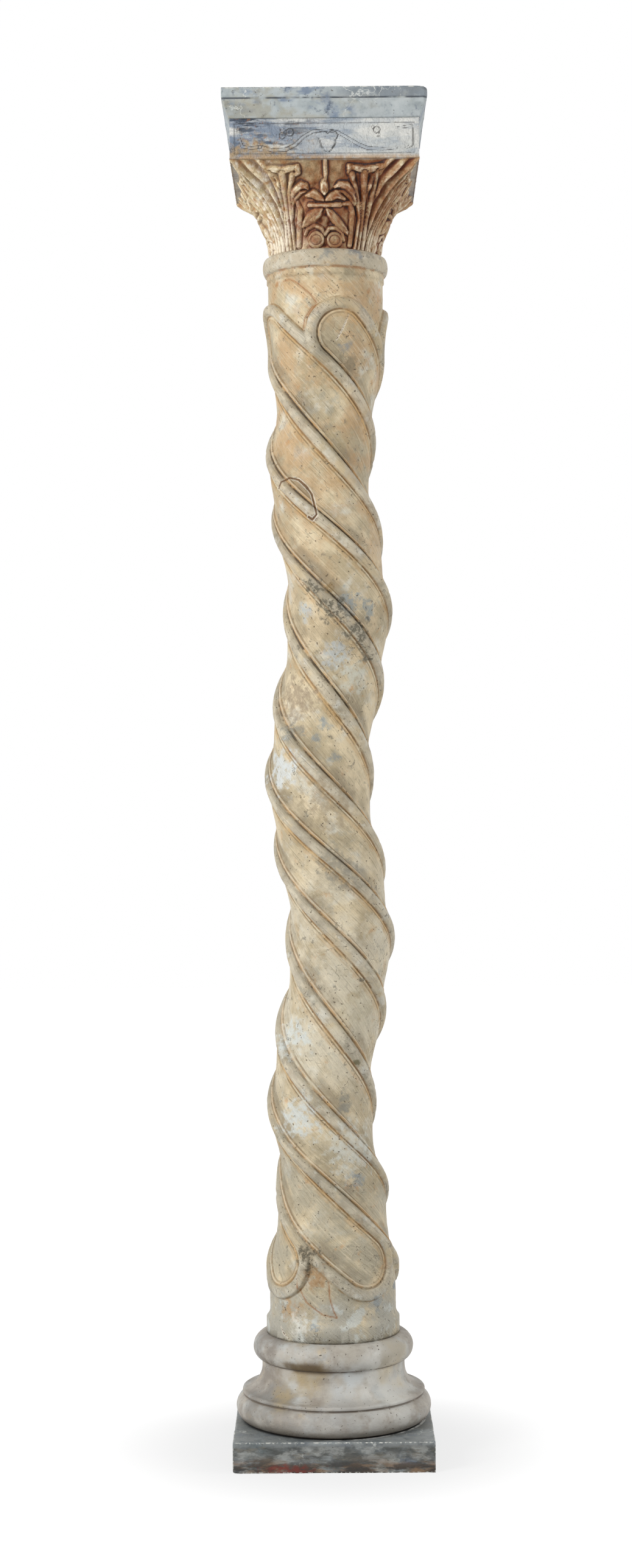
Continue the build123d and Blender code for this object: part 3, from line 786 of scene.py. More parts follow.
def make_capital(stone):
    """The capital: its carved face set round four times, then worn, with chips along the block's arrises."""
    points, masks = capital_face()
    mesh = skin("capital_carved", points, False)
    for name, mask in zip(("hollow", "crease"), masks):
        store(mesh, name, mask)
    piece = show("capital_carved", mesh)
    baked(piece, [use_tree(piece, repeated_face_tree(), {"Faces": 4, "Stone": stone})])
    flat = corners(piece.data)
    normals = np.zeros(flat.size, np.float32)
    piece.data.vertex_normals.foreach_get("vector", normals)
    wear = waves(flat, 31, (0.35, 26.0), (0.22, 7.0), (0.14, 3.5))
    bite = losses(flat, 34, (5.0, 9.0, 0.6))
    aside = np.abs(flat[:, :2])
    on_block = flat[:, 2] > BLOCK_FOOT - 0.5
    arris = np.where(on_block, np.exp(-np.minimum(BLOCK_HALF - aside.min(axis=1), 100.0) / 3.0), 0.0)
    free = (flat[:, 2] > CAPITAL_FOOT + 0.3) & (flat[:, 2] < CAPITAL_HEAD - 0.3) & (aside.max(axis=1) > 60.0)
    amount = np.where(on_block, 0.35 * wear - 0.25, wear) - bite * (0.35 + 0.65 * arris) - 1.2 * arris
    flat += normals.reshape(-1, 3) * np.where(free, amount, 0.0)[:, None]
    flat = np.clip(flat, (-BLOCK_HALF, -BLOCK_HALF, CAPITAL_FOOT), (BLOCK_HALF, BLOCK_HALF, CAPITAL_HEAD))
    set_points(piece.data, flat)
    piece.data.update()
    finish_piece(piece, "capital")


# Materials. A mask runs from 0 to 1 over a stone, and sizes, places and reaches are in millimetres. A row of
# numbers gives patches: their size, what the noise has to pass for none and for all, a seed, how they are
# squeezed, what they run along, and the noise's detail.

EVEN = (1.0, 1.0, 1.0)


class Stone:
    """A stone in the making: its nodes, where a point lies on it, its fine grain and its colour so far. Grain
    is the size of its finest bumps, and fray that of what makes the rims of its stains ragged."""

    def __init__(self, name, grain, fray, tone):
        self.material, self.tree = emptied(bpy.data.materials.new(name))
        self.where = self.add("ShaderNodeTexCoord")["Object"]
        self.spot = self.add(VECTOR_MATH, {0: self.where, 1: (1.0 / MM,) * 3}, operation="MULTIPLY")[0]
        self.place = self.add("ShaderNodeSeparateXYZ", {0: self.spot})
        self.grain, self.fray = (self.add("ShaderNodeTexNoise", {
            "Vector": self.where, "Scale": 1.0 / (size * MM), "Detail": 4.0})[0] for size in (grain, fray))
        self.colour = linear(tone)

    def add(self, kind, inputs=None, **settings):
        """Adds a node to this stone's own tree."""
        return add(self.tree, kind, inputs, **settings)

    def kept(self, name, socket="Fac"):
        """What the mesh keeps at each point under this name."""
        return self.add("ShaderNodeAttribute", attribute_name=name)[socket]

    def fade(self, value, zero, one):
        """A mask that is 0 where a value is at zero or beyond, and 1 where it is at one or beyond."""
        return self.add("ShaderNodeMapRange", {"Value": value, "From Min": zero, "From Max": one},
                        interpolation_type="SMOOTHSTEP")[0]

    def mask(self, row):
        """The mask of a row: numbers alone are patches, a value and two numbers a fade, or three a line."""
        if not isinstance(row, tuple):
            return row
        if not isinstance(row[0], bpy.types.NodeSocket):
            return self.patches(*row)
        return self.fade(*row) if len(row) == 3 else self.line(*row)

    def overlap(self, first, *others):
        """Where all the masks are."""
        share = self.mask(first)
        for other in others:
            share = self.add(MATH, {0: share, 1: self.mask(other)}, operation="MULTIPLY")[0]
        return share

    def patches(self, size, low, high, seed, stretch=EVEN, along=None, detail=4.0):
        """Soft-edged patches all over. The nearer low and high lie to 0.5, the more of it they cover."""
        moved = self.add("ShaderNodeMapping", {"Vector": along or self.where, "Location": (seed,) * 3,
                                               "Scale": stretch})[0]
        cloud = self.add("ShaderNodeTexNoise", {"Vector": moved, "Scale": 1.0 / (size * MM),
                                                "Detail": detail, "Roughness": 0.62})[0]
        return self.fade(cloud, low, high)

    def partly(self, mask, least):
        """The same mask, raised so that it is nowhere under its least."""
        return self.add(MATH, {0: self.mask(mask), 1: 1.0 - least, 2: least}, operation="MULTIPLY_ADD")[0]

    def line(self, value, middle, half_width, softness):
        """A stripe where a value lies near its middle."""
        off = self.add(MATH, {0: value, 1: middle}, operation="SUBTRACT")[0]
        away = self.add(MATH, {0: off}, operation="ABSOLUTE")[0]
        return self.fade(away, half_width + softness, half_width)

    def near(self, spot, reach, squeeze=1.0):
        """A ragged spot that ends at its reach. Squeezed, it reaches that many times as far across."""
        scaled = self.add(VECTOR_MATH, {0: self.spot, 1: (1.0 / squeeze, 1.0, 1.0)},
                          operation="MULTIPLY")[0]
        away = self.add(VECTOR_MATH, {0: scaled, 1: (spot[0] / squeeze, spot[1], spot[2])},
                        operation="DISTANCE")["Value"]
        ragged = self.add(MATH, {0: self.fray, 1: 2.6 * reach, 2: away}, operation="MULTIPLY_ADD")[0]
        return self.fade(ragged, 2.2 * reach, 1.5 * reach)

    def cracks(self, size, width, low, high, seed):
        """Hair-thin wandering cracks, in some places only."""
        wander = self.add("ShaderNodeTexNoise", {"Vector": self.where, "Scale": 2.5 / (size * MM),
                                                 "Detail": 5.0})["Color"]
        moved = self.add(VECTOR_MATH, {0: wander, 1: (0.9 * size * MM,) * 3, 2: self.where},
                         operation="MULTIPLY_ADD")[0]
        edge = self.add("ShaderNodeTexVoronoi", {"Vector": moved, "Scale": 1.0 / (size * MM)},
                        feature="DISTANCE_TO_EDGE")["Distance"]
        return self.overlap(self.fade(edge, width / size, 0.3 * width / size), (size, low, high, seed))

    def coated(self, colour, *coats):
        """A colour under others: each coat has its colour, its strength and the masks that bound it."""
        for tone, strength, *masks in coats:
            under, over = (linear(one) if isinstance(one, str) else one for one in (colour, tone))
            colour = self.add("ShaderNodeMix", {0: self.overlap(*masks, strength), 6: under, 7: over},
                              data_type="RGBA")[2]
        return colour

    def coat(self, *coats):
        """Lays coats over the stone's colour so far."""
        self.colour = self.coated(self.colour, *coats)

    def stain(self, spots, fleck):
        """The stains of a table, each with its place, reach, colour and strength, broken into flecks."""
        flecks = self.patches(fleck, 0.3, 0.54, 6.4)
        for spot, reach, tone, strength in spots:
            self.coat((tone, strength, self.near(spot, reach), flecks))

    def finish(self, *parts, relief, roughness):
        """Joins the colour, the small relief and the roughness to the stone's shader. Each part is a mask and
        what it adds to the grain's height, and relief is how high the grain is."""
        height = self.grain
        for mask, depth in parts:
            height = self.add(MATH, {0: self.mask(mask), 1: depth, 2: height}, operation="MULTIPLY_ADD")[0]
        bump = self.add("ShaderNodeBump", {"Strength": 1.0, "Distance": relief * MM, "Height": height})[0]
        shader = self.add("ShaderNodeBsdfPrincipled", {
            "IOR": 1.5, "Specular IOR Level": 0.4, "Base Color": self.colour, "Roughness": roughness,
            "Normal": bump})[0]
        self.add("ShaderNodeOutputMaterial", {"Surface": shader})
        return self.material


# Stains, scars and bleached places on the shaft: place, reach, colour and strength
SHAFT_STAINS = (
    ((31, -77, 1735), 15, "#7B8185", 0.75), ((35, -73, 1713), 22, "#82765D", 0.75),
    ((2, -86, 1357), 12, "#8C6E39", 0.75), ((34, -77, 1337), 30, "#8C9596", 0.85),
    ((66, -57, 1329), 20, "#8E9797", 0.8), ((-35, -57, 1324), 20, "#B4BCBC", 0.8),
    ((12, -64, 1256), 34, "#B4BABA", 0.8), ((37, -54, 1222), 36, "#CDCCBD", 0.8),
    ((-50, -43, 1186), 56, "#93816A", 0.75), ((-61, -53, 1132), 28, "#84847B", 0.8),
    ((-75, -45, 1078), 50, "#D3D8D7", 0.85), ((-4, -86, 1027), 60, "#9C8C72", 0.7),
    ((-20, -65, 1124), 14, "#7C8484", 0.75), ((9, -67, 1092), 16, "#7C8484", 0.7),
    ((-7, -64, 1148), 16, "#8A9394", 0.75), ((17, -101, 922), 48, "#8B8678", 0.75),
    ((-76, -28, 914), 11, "#5E5A4E", 0.8), ((-59, -37, 656), 42, "#CED3CE", 0.85),
    ((-52, -70, 531), 50, "#CCD1CD", 0.85), ((33, -76, 484), 60, "#CFD0C6", 0.75),
    ((21, -65, 554), 24, "#7D7C72", 0.75), ((41, -56, 615), 8, "#615B3C", 0.85),
    ((48, -60, 746), 7, "#47443B", 0.85), ((39, -72, 436), 18, "#7F8A90", 0.7),
    ((71, -70, 242), 22, "#848C8F", 0.7), ((97, -21, 262), 12, "#6D7D8C", 0.8),
    ((-22, -95, 287), 28, "#A27A4A", 0.7), ((-65, -76, 232), 28, "#AF8A58", 0.7),
    ((-31, -100, 211), 9, "#6F7E8A", 0.8), ((-54, -87, 214), 22, "#D5D3C8", 0.8),
    ((-39, -95, 321), 26, "#8A7656", 0.75), ((-75, -51, 1840), 9, "#A8763F", 0.8),
    ((69, -60, 1826), 9, "#A8763F", 0.7), ((4, -99, 1879), 18, "#7C7F7C", 0.7),
    ((48, -85, 1883), 16, "#6F757A", 0.75), ((-20, -90, 1700), 50, "#A08F6C", 0.5),
    ((20, -86, 1590), 46, "#A6946E", 0.5), ((52, -62, 700), 60, "#C9C1A8", 0.5),
    ((-19, -101, 1468), 9, "#5C3B1F", 0.95),
)
# Where the skin has gone and the stone under it is coarse and pitted: place and reach
ROUGH_PLACES = (((-21, -86, 1359), 24), ((8, -86, 1326), 34), ((47, -73, 1289), 34), ((63, -50, 1256), 20),
    ((-39, -95, 321), 26))


def shaft_marble():
    """Cream marble, carved, rubbed smooth and long outdoors. The rolls are rubbed pale and grey, the sunk
    bands keep a honey skin with fine rasp marks, and ochre grime sits in every groove. Painted shade darkens
    each roll's upper flank, the groove along its upper edge and a soft stretch of band above it."""
    stone = Stone("weathered_cream_marble", grain=1.6, fray=12.0, tone="#B8A888")
    distance, above, plain = (stone.kept(name) for name in ("from_rib", "upper_side", "plain"))
    unwound = stone.kept("unwound", "Vector")
    height = stone.place[2]
    carved = (plain, 1.0, 0.0)
    below = stone.overlap((above, 1.0, 0.0), carved)
    above = stone.overlap(above, carved)
    worn = stone.patches(34, 0.36, 0.56, 4.4)
    stone.coat(
        ("#DDCCAA", 0.9, (66, 0.42, 0.6, 0)), ("#998D72", 0.65, (80, 0.48, 0.66, 2.1)),
        ("#D3D0C2", 0.8, (56, 0.54, 0.68, 4.1)), ("#B99263", 0.6, (height, 1150, 1600), (50, 0.42, 0.6, 5.8)),
        ("#DDD5C0", 0.65, (height, 500, 640), (height, 980, 840), (48, 0.36, 0.56, 3.7)),
        ("#A5A08E", 0.6, (height, 560, 420), (50, 0.36, 0.56, 6.2)),
        ("#C08D54", 0.55, (24, 0.6, 0.74, 5.3)), ("#EADCBE", 0.35, (4.5, 0.5, 0.7, 7.7, EVEN, unwound)),
        ("#82775D", 0.5, (3.6, 0.52, 0.72, 1.7, EVEN, unwound)),
        ("#776D58", 0.4, (1.3, 0.55, 0.75, 2.7, EVEN, unwound)),
        # painted shade: a soft darker stretch of band just above each rib
        ("#7C705A", 0.6, (distance, 21, 3, 13), (90, 0.4, 0.6, 3.3), above),
        ("#B98B4E", 0.6, (distance, 12.2, 2, 2.4), worn, above),
        ("#D9CFB8", 0.5, (distance, 14.3, 0.4, 1), above),
        ("#D9CFB4", 0.6, (distance, 12.6, 1.2, 1.2), (60, 0.42, 0.56, 5.5), below),
        ("#C39A5C", 0.55, (distance, 12, 1.6, 1.6), (60, 0.58, 0.44, 5.5), below),
        ("#BC8F4E", 0.3, (distance, 17, 2, 4), worn, below))
    roll = stone.coated(
        "#AFA592", ("#CBC2AD", 0.9, (24, 0.4, 0.58, 6.1)), ("#837E6F", 0.8, (38, 0.5, 0.66, 8.2)),
        ("#C6B189", 0.7, (55, 0.48, 0.64, 9.2)), ("#D5D5CC", 0.7, (30, 0.56, 0.68, 3.2)),
        ("#625D52", 0.6, (3.2, 0.53, 0.7, 0.4, EVEN, unwound)),
        # painted shade: each roll darker on its upper flank, towards its groove
        ("#88816F", 0.5, above, (distance, 8, 1.5, 4)))
    neck = (height, BEAD_FOOT - 1, BEAD_FOOT + 1)
    foot = (height, BASE_HEAD + 85, BASE_HEAD + 50)
    stone.coat(
        (roll, 0.75, (distance, 0, 7, 2.8)),
        ("#5E5A50", 0.6, (9, 0.6, 0.68, 13), (70, 0.46, 0.6, 14)),
        ("#8D9189", 0.3, (14, 0.54, 0.66, 11), (120, 0.5, 0.6, 12)),
        ("#B9AF9A", 0.8, neck, (30, 0.3, 0.5, 1.9)), ("#CDC6B4", 0.6, neck, (16, 0.5, 0.62, 3.9)),
        ("#7B766B", 0.5, neck, (9, 0.54, 0.66, 7.1)),
        ("#A06B38", 0.6, (height, BEAD_FOOT, 1, 1.6), (24, 0.44, 0.6, 8.4)),
        ("#A5A296", 0.85, foot, (50, 0.3, 0.55, 4.9)), ("#C4C7C0", 0.75, foot, (22, 0.52, 0.64, 6.9)))
    stone.stain(SHAFT_STAINS, 9.0)
    broken = stone.patches(26, 0.34, 0.54, 9.1)
    # each rib's upper side, wholly from 1300 mm up and half as much below 600 mm, where the groove line takes
    # its painted shadow
    darker_side = stone.overlap(above, stone.partly((height, 600, 1300), 0.5))
    # the dark lines in the grooves, grime and painted shadow: how far from the crest, how wide, its colour
    # and strength, and on which side. The first, in the sharp groove along each rib's upper edge, is mostly
    # painted shadow
    for middle, half_width, tone, strength, side in (
            (9.8, 0.9, "#43341F", 0.88, darker_side), (15.9, 0.4, "#745C38", 0.6, above),
            (9.9, 0.8, "#86602E", 0.75, below), (14.7, 0.4, "#6F5C3A", 0.6, below),
            (10.0, 0.6, "#8A6A3E", 0.7, plain)):
        stone.coat((tone, strength, (distance, middle, half_width, 1.2), broken, side))
    scratched = stone.kept("scar")
    pits = stone.patches(4.5, 0.7, 0.76, 5, detail=1.0)
    coarse, *rest = (stone.near(spot, reach) for spot, reach in ROUGH_PLACES)
    for mask in rest:
        coarse = stone.add(MATH, {0: coarse, 1: mask}, operation="MAXIMUM")[0]
    crumbs = stone.overlap(coarse, (5.5, 0.46, 0.6, 4.7))
    stone.coat(
        ("#4A4033", 0.8, (height, BASE_HEAD + 3.5, BASE_HEAD + 0.5), broken),
        ("#965F2C", 0.8, stone.kept("cut")), ("#E4DCCB", 0.7, (scratched, 0.35, 0.12, 0.2), broken),
        ("#62401F", 0.85, (scratched, 0.45, 0.75)),
        ("#4E4638", 0.7, stone.cracks(62, 0.5, 0.52, 0.6, 3)),
        ("#564732", 0.8, pits), ("#9B9482", 0.5, coarse), ("#54503F", 0.75, crumbs))
    return stone.finish(((2.4, 0.35, 0.75, 6.6, EVEN, unwound), 0.8), ((9, 0.3, 0.7, 2.2), 0.8), (pits, -1.4),
                        (crumbs, -2.6), (scratched, -1.6), relief=0.6, roughness=0.48)


# Stains on the capital. The first rows bleach its left corner, and the last are mortar on the joint.
CAPITAL_STAINS = (
    ((-118, -118, 1930), 90, "#F2EBDC", 0.9), ((-80, -78, 1885), 80, "#F3EAD8", 0.9),
    ((-66, -84, 1912), 66, "#EFE4CE", 0.85), ((54, -118, 1988), 56, "#3E200E", 0.85),
    ((-8, -108, 1996), 60, "#7D6A48", 0.7), ((4, -92, 1915), 50, "#6E6450", 0.7),
    ((76, -108, 1956), 80, "#74431C", 0.75), ((-30, -104, 1958), 52, "#8E4F20", 0.75),
    ((34, -90, 1908), 52, "#8C5D36", 0.65), ((-26, -90, 1922), 34, "#6E3C18", 0.7),
    ((-38, -86, 1902), 40, "#87552B", 0.6), ((34, -98, 1948), 44, "#703C15", 0.7),
    ((-48, -72, 1890), 12, "#DCCFB4", 0.9), ((-30, -80, 1892), 13, "#D9C6A2", 0.9),
    ((-22, -83, 1889), 10, "#DCCFB4", 0.9),
)


def capital_marble():
    """The same marble in the capital, drilled and carved deep. Rust-brown grime fills what rain can't wash,
    deepened there by painted shade, the finest creases are painted near black as shade, the high leaves are
    bleached and carry a painted highlight, and the block above has blue veins and one ochre stain."""
    stone = Stone("carved_marble_with_rust", grain=1.8, fray=11.0, tone="#BCA27A")
    across, inward, height = stone.place
    hollow, crease = stone.kept("hollow"), stone.kept("crease")
    # the right part of each face, which is laid darker and browner
    darker_side = (across, -88, 8)
    stone.coat(("#D3C19B", 0.85, (24, 0.42, 0.6, 0)), ("#8A7F64", 0.6, (30, 0.5, 0.68, 2)),
               ("#A8703A", 0.65, (12, 0.48, 0.66, 3)), ("#8A6238", 0.6, darker_side, (20, 0.36, 0.6, 9)))
    stone.stain(CAPITAL_STAINS, 14.0)
    # where rust-brown grime and painted shade go: more on the right, in patches
    dirt_and_shade = stone.overlap(stone.partly(darker_side, 0.3), (30, 0.2, 0.46, 4))
    outer = (stone.line(across, 0, 40, 30), 1.0, 0.0)
    low = (height, CAPITAL_FOOT + 50, CAPITAL_FOOT + 8)
    stone.coat(
        # rust-brown grime in the hollows, deepened there as painted shade
        ("#7A3C0C", 0.88, (hollow, -0.15, 0.35), dirt_and_shade),
        # the high leaves bleached pale, with a painted highlight on them
        ("#F2E4C6", 0.8, (hollow, -0.25, -0.75), (9, 0.36, 0.56, 5)),
        ("#935620", 0.6, darker_side, (hollow, 0.2, -0.5), (14, 0.36, 0.58, 6.9)),
        ("#EEE2CA", 0.7, low, (crease, 0.3, 0.0), outer, (11, 0.34, 0.54, 8.3)),
        # painted shade: the creases darkened towards near black
        ("#562208", 0.95, (crease, 0.1, 0.45), dirt_and_shade),
        ("#1E0F07", 0.9, (crease, 0.4, 0.85), dirt_and_shade))
    front = (inward, -70, -140)
    leftward = stone.overlap((across, 40, -90), front)
    clouded = stone.patches(50, 0.42, 0.62, 8, (0.6, 0.6, 2.0))
    vein = stone.patches(22, 0.48, 0.6, 9, (0.5, 0.5, 2.2))
    block = stone.coated(
        "#BFC0BC", ("#D6D5CF", 0.85, (30, 0.4, 0.6, 7)),
        ("#E8E0CE", 0.75, (inward, -142, -110), (70, 0.34, 0.56, 4.4)),
        ("#A6AEB4", 0.7, clouded, stone.partly(front, 0.45)),
        ("#65758A", 0.85, leftward, (40, 0.34, 0.52, 3, (0.5, 0.5, 1.8))),
        ("#2B3645", 0.9, vein, leftward), ("#6B7A8D", 0.5, vein, clouded),
        ("#A38B67", 0.85, stone.near((-98, -146, BLOCK_FOOT + 1), 38, 2.4), (34, 0.2, 0.5, 2)),
        ("#8D5A2B", 0.6, leftward, (7, 0.58, 0.7, 2.6)),
        ("#B0906A", 0.8, (height, BLOCK_FOOT + 9, BLOCK_FOOT + 1), front, (30, 0.4, 0.58, 1)),
        ("#DEDDD7", 0.3, (hollow, -0.3, -0.9)),
        # the frieze's outlines darkened: grime and painted shade
        ("#3B3733", 0.8, (crease, 0.2, 0.75), (16, 0.3, 0.5, 6)))
    stone.coat((block, 1.0, (height, BLOCK_FOOT - 1, BLOCK_FOOT + 1)),
               ("#5A4028", 0.6, (3.6, 0.68, 0.75, 5, EVEN, None, 2.0)))
    return stone.finish(((5.5, 0.35, 0.65, 6), 1.2), relief=0.7, roughness=0.55)


# Stains on the abacus, then on the plinth
GREY_STAINS = (
    ((20, -158, 2109), 30, "#A9AFB0", 0.6), ((90, -152, 2080), 80, "#B9BEBE", 0.6),
    ((-100, -152, 2078), 70, "#948F7C", 0.6), ((-20, -156, 55), 26, "#8E9598", 0.6),
    ((60, -156, 40), 30, "#4B5358", 0.6), ((-60, -156, 50), 30, "#4E575C", 0.6),
    ((-120, -156, 36), 30, "#4F5A5C", 0.6), ((128, -156, 26), 34, "#3E4344", 0.6),
)


def grey_marble():
    """Blue-grey marble, sawn and rubbed flat. It is cloudy inside, its arrises are chipped to fresh pale
    stone, and the plinth's foot is soiled black and brown. A painted shadow rings the plinth's top under the
    base, and the groove under the abacus's fascia is painted dark as shadow."""
    stone = Stone("cloudy_blue_grey_marble", grain=1.5, fray=14.0, tone="#8C9496")
    across, _, height = stone.place
    stone.coat(
        ("#AFB6B7", 0.85, (60, 0.4, 0.6, 0)), ("#A5A192", 0.6, (48, 0.5, 0.66, 2, (0.6, 0.6, 1.5))),
        ("#64748A", 0.8, (44, 0.5, 0.68, 3, (1.0, 1.0, 1.7))), ("#404C5E", 0.7, (16, 0.57, 0.7, 4)),
        ("#6C6E6C", 0.7, (height, PLINTH_HEAD + 40, PLINTH_HEAD + 10), (60, 0.2, 0.5, 9)))
    stone.stain(GREY_STAINS, 22.0)
    fascia = (height, COLUMN_HEAD - 17, COLUMN_HEAD - 15)
    side = (height, PLINTH_HEAD - 3, PLINTH_HEAD - 10)
    lowest = (height, 30, 5)
    level_top = (height, PLINTH_HEAD, 1.5, 1)
    flat = stone.add(VECTOR_MATH, {0: stone.spot, 1: (1.0, 1.0, 0.0)}, operation="MULTIPLY")[0]
    out = stone.add(VECTOR_MATH, {0: flat}, operation="LENGTH")["Value"]
    stone.coat(
        ("#5B6570", 0.65, fascia, (across, -30, 80), (40, 0.3, 0.5, 7.7)),
        ("#D5D7D2", 0.7, stone.cracks(75, 0.8, 0.45, 0.58, 5)),
        ("#3A3B37", 0.8, side, (34, 0.37, 0.57, 6, (0.6, 0.6, 1.6))),
        ("#A3A5A1", 0.6, side, (24, 0.5, 0.64, 1, (0.7, 0.7, 1.3))),
        ("#716C60", 0.6, side, (18, 0.52, 0.64, 3, (0.6, 0.6, 1.8))),
        ("#34342F", 0.45, side, (6, 0.5, 0.66, 2, (0.4, 0.4, 1.6))),
        ("#7D634A", 0.8, lowest, (30, 0.42, 0.56, 7, (0.5, 0.5, 2.0))),
        ("#282421", 0.88, lowest, (22, 0.43, 0.56, 8, (0.5, 0.5, 1.8))),
        ("#70291E", 0.75, stone.near((-72, -156, 4), 12, 4), (9, 0.36, 0.5, 5, (0.5, 0.5, 1.6))),
        # painted shadow: the plinth's top darkened where the base's lower roll sits on it
        ("#211F1D", 0.85, level_top, (out, 149, 141)),
        ("#E4E4DF", 0.85, level_top, (out, 144.5, 1.7, 1), (across, -40, 30), (30, 0.36, 0.5, 2.6)),
        ("#D3D3CB", 0.75, (stone.kept("arris"), 0.35, 0.8), (5, 0.46, 0.62, 9)),
        # painted shadow in the small groove under the fascia, in broken patches
        ("#343A43", 0.9, (height, COLUMN_HEAD - 16.6, 0.6, 0.9), (60, 0.4, 0.54, 1)),
        ("#4A453D", 0.7, (4, 0.7, 0.76, 2, EVEN, None, 1.0)))
    return stone.finish(((7, 0.3, 0.7, 4), 0.6), relief=0.35, roughness=0.5)


# Stains on the base: dark and bleached cloudings of its rolls and of the hollow
BASE_STAINS = (
    ((-100, -75, 178), 75, "#79726A", 0.7), ((75, -105, 134), 110, "#DAD8D0", 0.85),
    ((25, -112, 136), 50, "#C2C8CA", 0.7), ((90, -125, 96), 120, "#B9B8B2", 0.6),
    ((-110, -105, 90), 85, "#7B7872", 0.7), ((10, -155, 95), 90, "#AEB0AF", 0.5),
    ((40, -140, 82), 60, "#8F8980", 0.6), ((-50, -105, 146), 70, "#A8946C", 0.7),
    ((90, -70, 152), 50, "#C6B592", 0.6), ((30, -122, 176), 50, "#A8A295", 0.6),
    ((95, -85, 182), 60, "#958F83", 0.6),
)


def base_marble():
    """Warm grey marble, turned and rubbed smooth. Rain has bleached it in bluish patches, and a brown stain
    runs from under the upper roll. Painted shade darkens the lower roll's foot, and painted shadow lines run
    in its small grooves and along its bed."""
    stone = Stone("turned_warm_grey_marble", grain=1.4, fray=45.0, tone="#978F84")
    height = stone.place[2]
    stone.coat(
        ("#B4AEA3", 0.8, (44, 0.42, 0.62, 0)), ("#B9BEBD", 0.6, (60, 0.46, 0.66, 2)),
        ("#7E756A", 0.7, (50, 0.48, 0.68, 3, (0.7, 0.7, 1.5))), ("#C9B48C", 0.4, (42, 0.58, 0.72, 4)),
        ("#8A9096", 0.4, (13, 0.62, 0.74, 5)))
    stone.stain(BASE_STAINS, 60.0)
    stone.coat(("#564324", 0.85, (height, BASE_HEAD - 36, 5, 9),
                stone.near((-60, -105, BASE_HEAD - 38), 60, 1.7)),
               # painted shade: the lower roll darker at its foot
               ("#6F675C", 0.6, (height, PLINTH_HEAD + 5, 3, 9)))
    # painted shadow lines: in the small groove over the lower roll, under the upper roll and along the bed
    for up, half_width in ((43, 0.9), (97.4, 1.2), (0.6, 2.2)):
        stone.coat(("#57493A", 0.8, (height, PLINTH_HEAD + up, half_width, 1.4), (40, 0.3, 0.5, 6)))
    stone.coat(("#4F483D", 0.97, (3.6, 0.7, 0.76, 7, EVEN, None, 1.0)))
    return stone.finish(((6, 0.3, 0.7, 8), 0.6), relief=0.35, roughness=0.5)


def rusted_iron():
    """Forged iron bars, rusted through their scale."""
    stone = Stone("rusted_forged_iron", grain=2.0, fray=6.0, tone="#3B2A22")
    stone.coat(("#7A4526", 0.8, (8, 0.42, 0.6, 0)))
    return stone.finish(relief=0.3, roughness=0.8)


# The room: lamps, backdrop, floor and camera


def lamp(name, size, power, place, target):
    """A rectangular lamp that looks at its target."""
    light = bpy.data.lights.new(name, "AREA")
    light.shape = "RECTANGLE"
    light.size, light.size_y = size
    light.energy = power
    holder = show(name, light)
    holder.location = place
    holder.rotation_mode = "QUATERNION"
    holder.rotation_quaternion = (Vector(place) - Vector(target)).to_track_quat("Z", "Y")


def seen_directly(tree):
    """1 for the camera's rays, and for those that gloss and glass send on."""
    path = add(tree, "ShaderNodeLightPath")
    gloss = add(tree, MATH, {0: path["Is Glossy Ray"], 1: path["Is Transmission Ray"]}, operation="ADD")[0]
    return add(tree, MATH, {0: path["Is Camera Ray"], 1: gloss}, operation="ADD", use_clamp=True)[0]


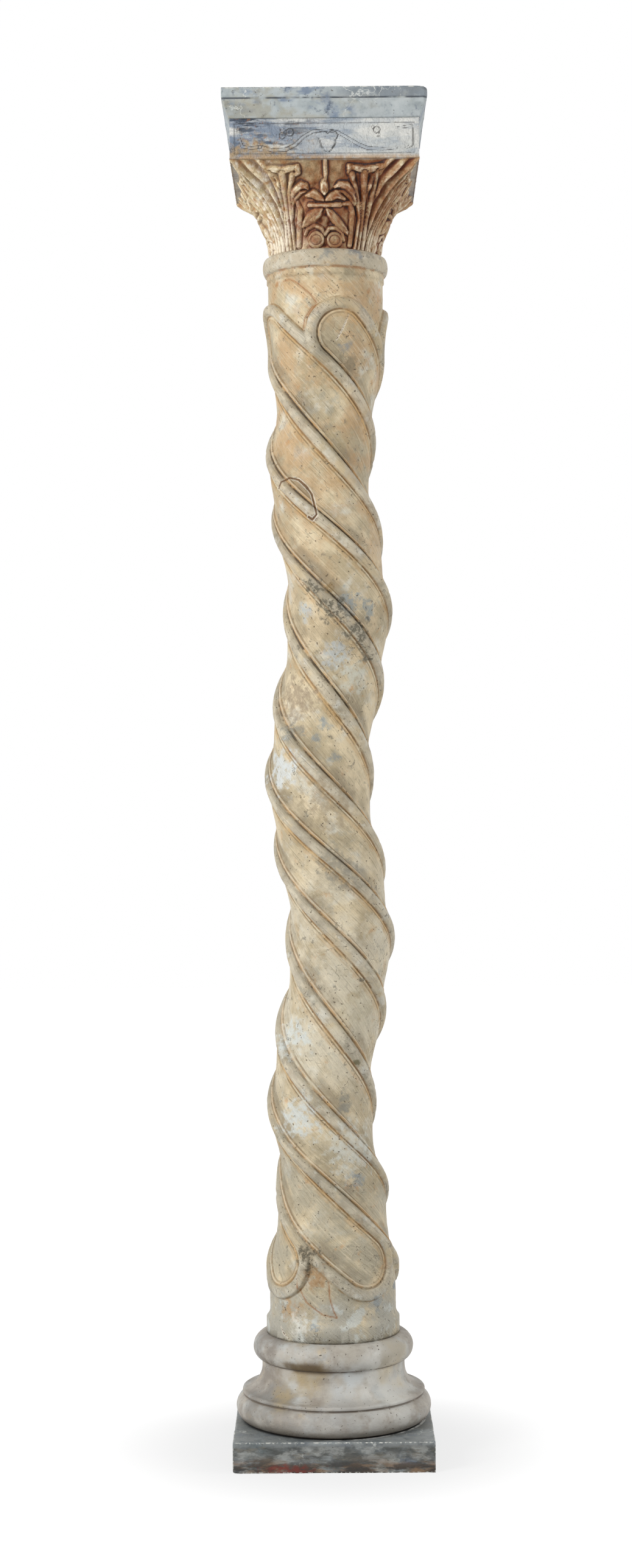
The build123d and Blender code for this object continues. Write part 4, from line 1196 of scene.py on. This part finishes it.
def make_room():
    """Even light from all round, the lamps, and a pale floor that the camera sees glow towards white, glowing
    less near the column as a painted shadow.
    """
    scene = bpy.context.scene
    scene.view_settings.view_transform = "Standard"
    scene.world, tree = emptied(bpy.data.worlds.new("Studio"))
    white = linear("#FFFFFF")
    dim, full = (add(tree, "ShaderNodeBackground", {"Color": white, "Strength": strength})[0]
                 for strength in (AMBIENT, 1.0))
    mixed = add(tree, "ShaderNodeMixShader", {0: seen_directly(tree), 1: dim, 2: full})[0]
    add(tree, "ShaderNodeOutputWorld", {"Surface": mixed})
    ends = (-FLOOR_HALF, FLOOR_HALF)
    floor = show("floor", skin("floor", np.array([[(x, y, 0.0) for x in ends] for y in ends]), False))
    pale, tree = emptied(bpy.data.materials.new("pale_floor"))
    matt = add(tree, "ShaderNodeBsdfDiffuse", {"Color": linear("#C8C8C8")})[0]
    where = add(tree, "ShaderNodeTexCoord")["Object"]
    away = add(tree, VECTOR_MATH, {0: where}, operation="LENGTH")["Value"]
    # the floor glows less near the column, a painted shadow round the plinth
    bright = add(tree, "ShaderNodeMapRange", {
        "Value": away, "From Min": GLOW_NEAR[0], "From Max": GLOW_FAR[0], "To Min": GLOW_NEAR[1],
        "To Max": GLOW_FAR[1]}, interpolation_type="SMOOTHSTEP")[0]
    glow = add(tree, "ShaderNodeEmission", {"Color": white, "Strength": bright})[0]
    share = add(tree, MATH, {0: seen_directly(tree), 1: GLOW_SHARE}, operation="MULTIPLY")[0]
    mixed = add(tree, "ShaderNodeMixShader", {0: share, 1: matt, 2: glow})[0]
    add(tree, "ShaderNodeOutputMaterial", {"Surface": mixed})
    floor.data.materials.append(pale)
    for name, settings in LAMPS.items():
        lamp(name, *settings)


def make_camera():
    """The camera, which stands in front of the column and is turned a little."""
    data = bpy.data.cameras.new("camera")
    data.sensor_width = 36.0
    data.lens = LENS
    data.clip_start = 0.05
    data.clip_end = 60.0
    camera = show("camera", data)
    yaw = Matrix.Rotation(math.radians(EYE_YAW), 4, "Z")
    pitch = Matrix.Rotation(math.radians(90.0 + EYE_PITCH), 4, "X")
    roll = Matrix.Rotation(math.radians(EYE_ROLL), 4, "Z")
    place = Matrix.Translation((0.0, -EYE_DISTANCE * MM, EYE_HEIGHT * MM))
    camera.matrix_world = place @ yaw @ pitch @ roll
    bpy.context.scene.camera = camera


make_camera()
make_room()
greys = grey_marble()
make_shaft(shaft_marble())
make_capital(capital_marble())
make_base(base_marble())
make_slab("plinth_slab", "plinth", greys, PLINTH_SIDE, PLINTH_CHIPS, arris=0.8, seed=51)
make_slab("abacus_slab", "abacus", greys, ABACUS_SIDE, ABACUS_CHIPS, arris=0.9, seed=61)
iron = rusted_iron()
for node in ("base_dowel", "neck_dowel"):
    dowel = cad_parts[node].data
    dowel.materials.clear()
    dowel.materials.append(iron)
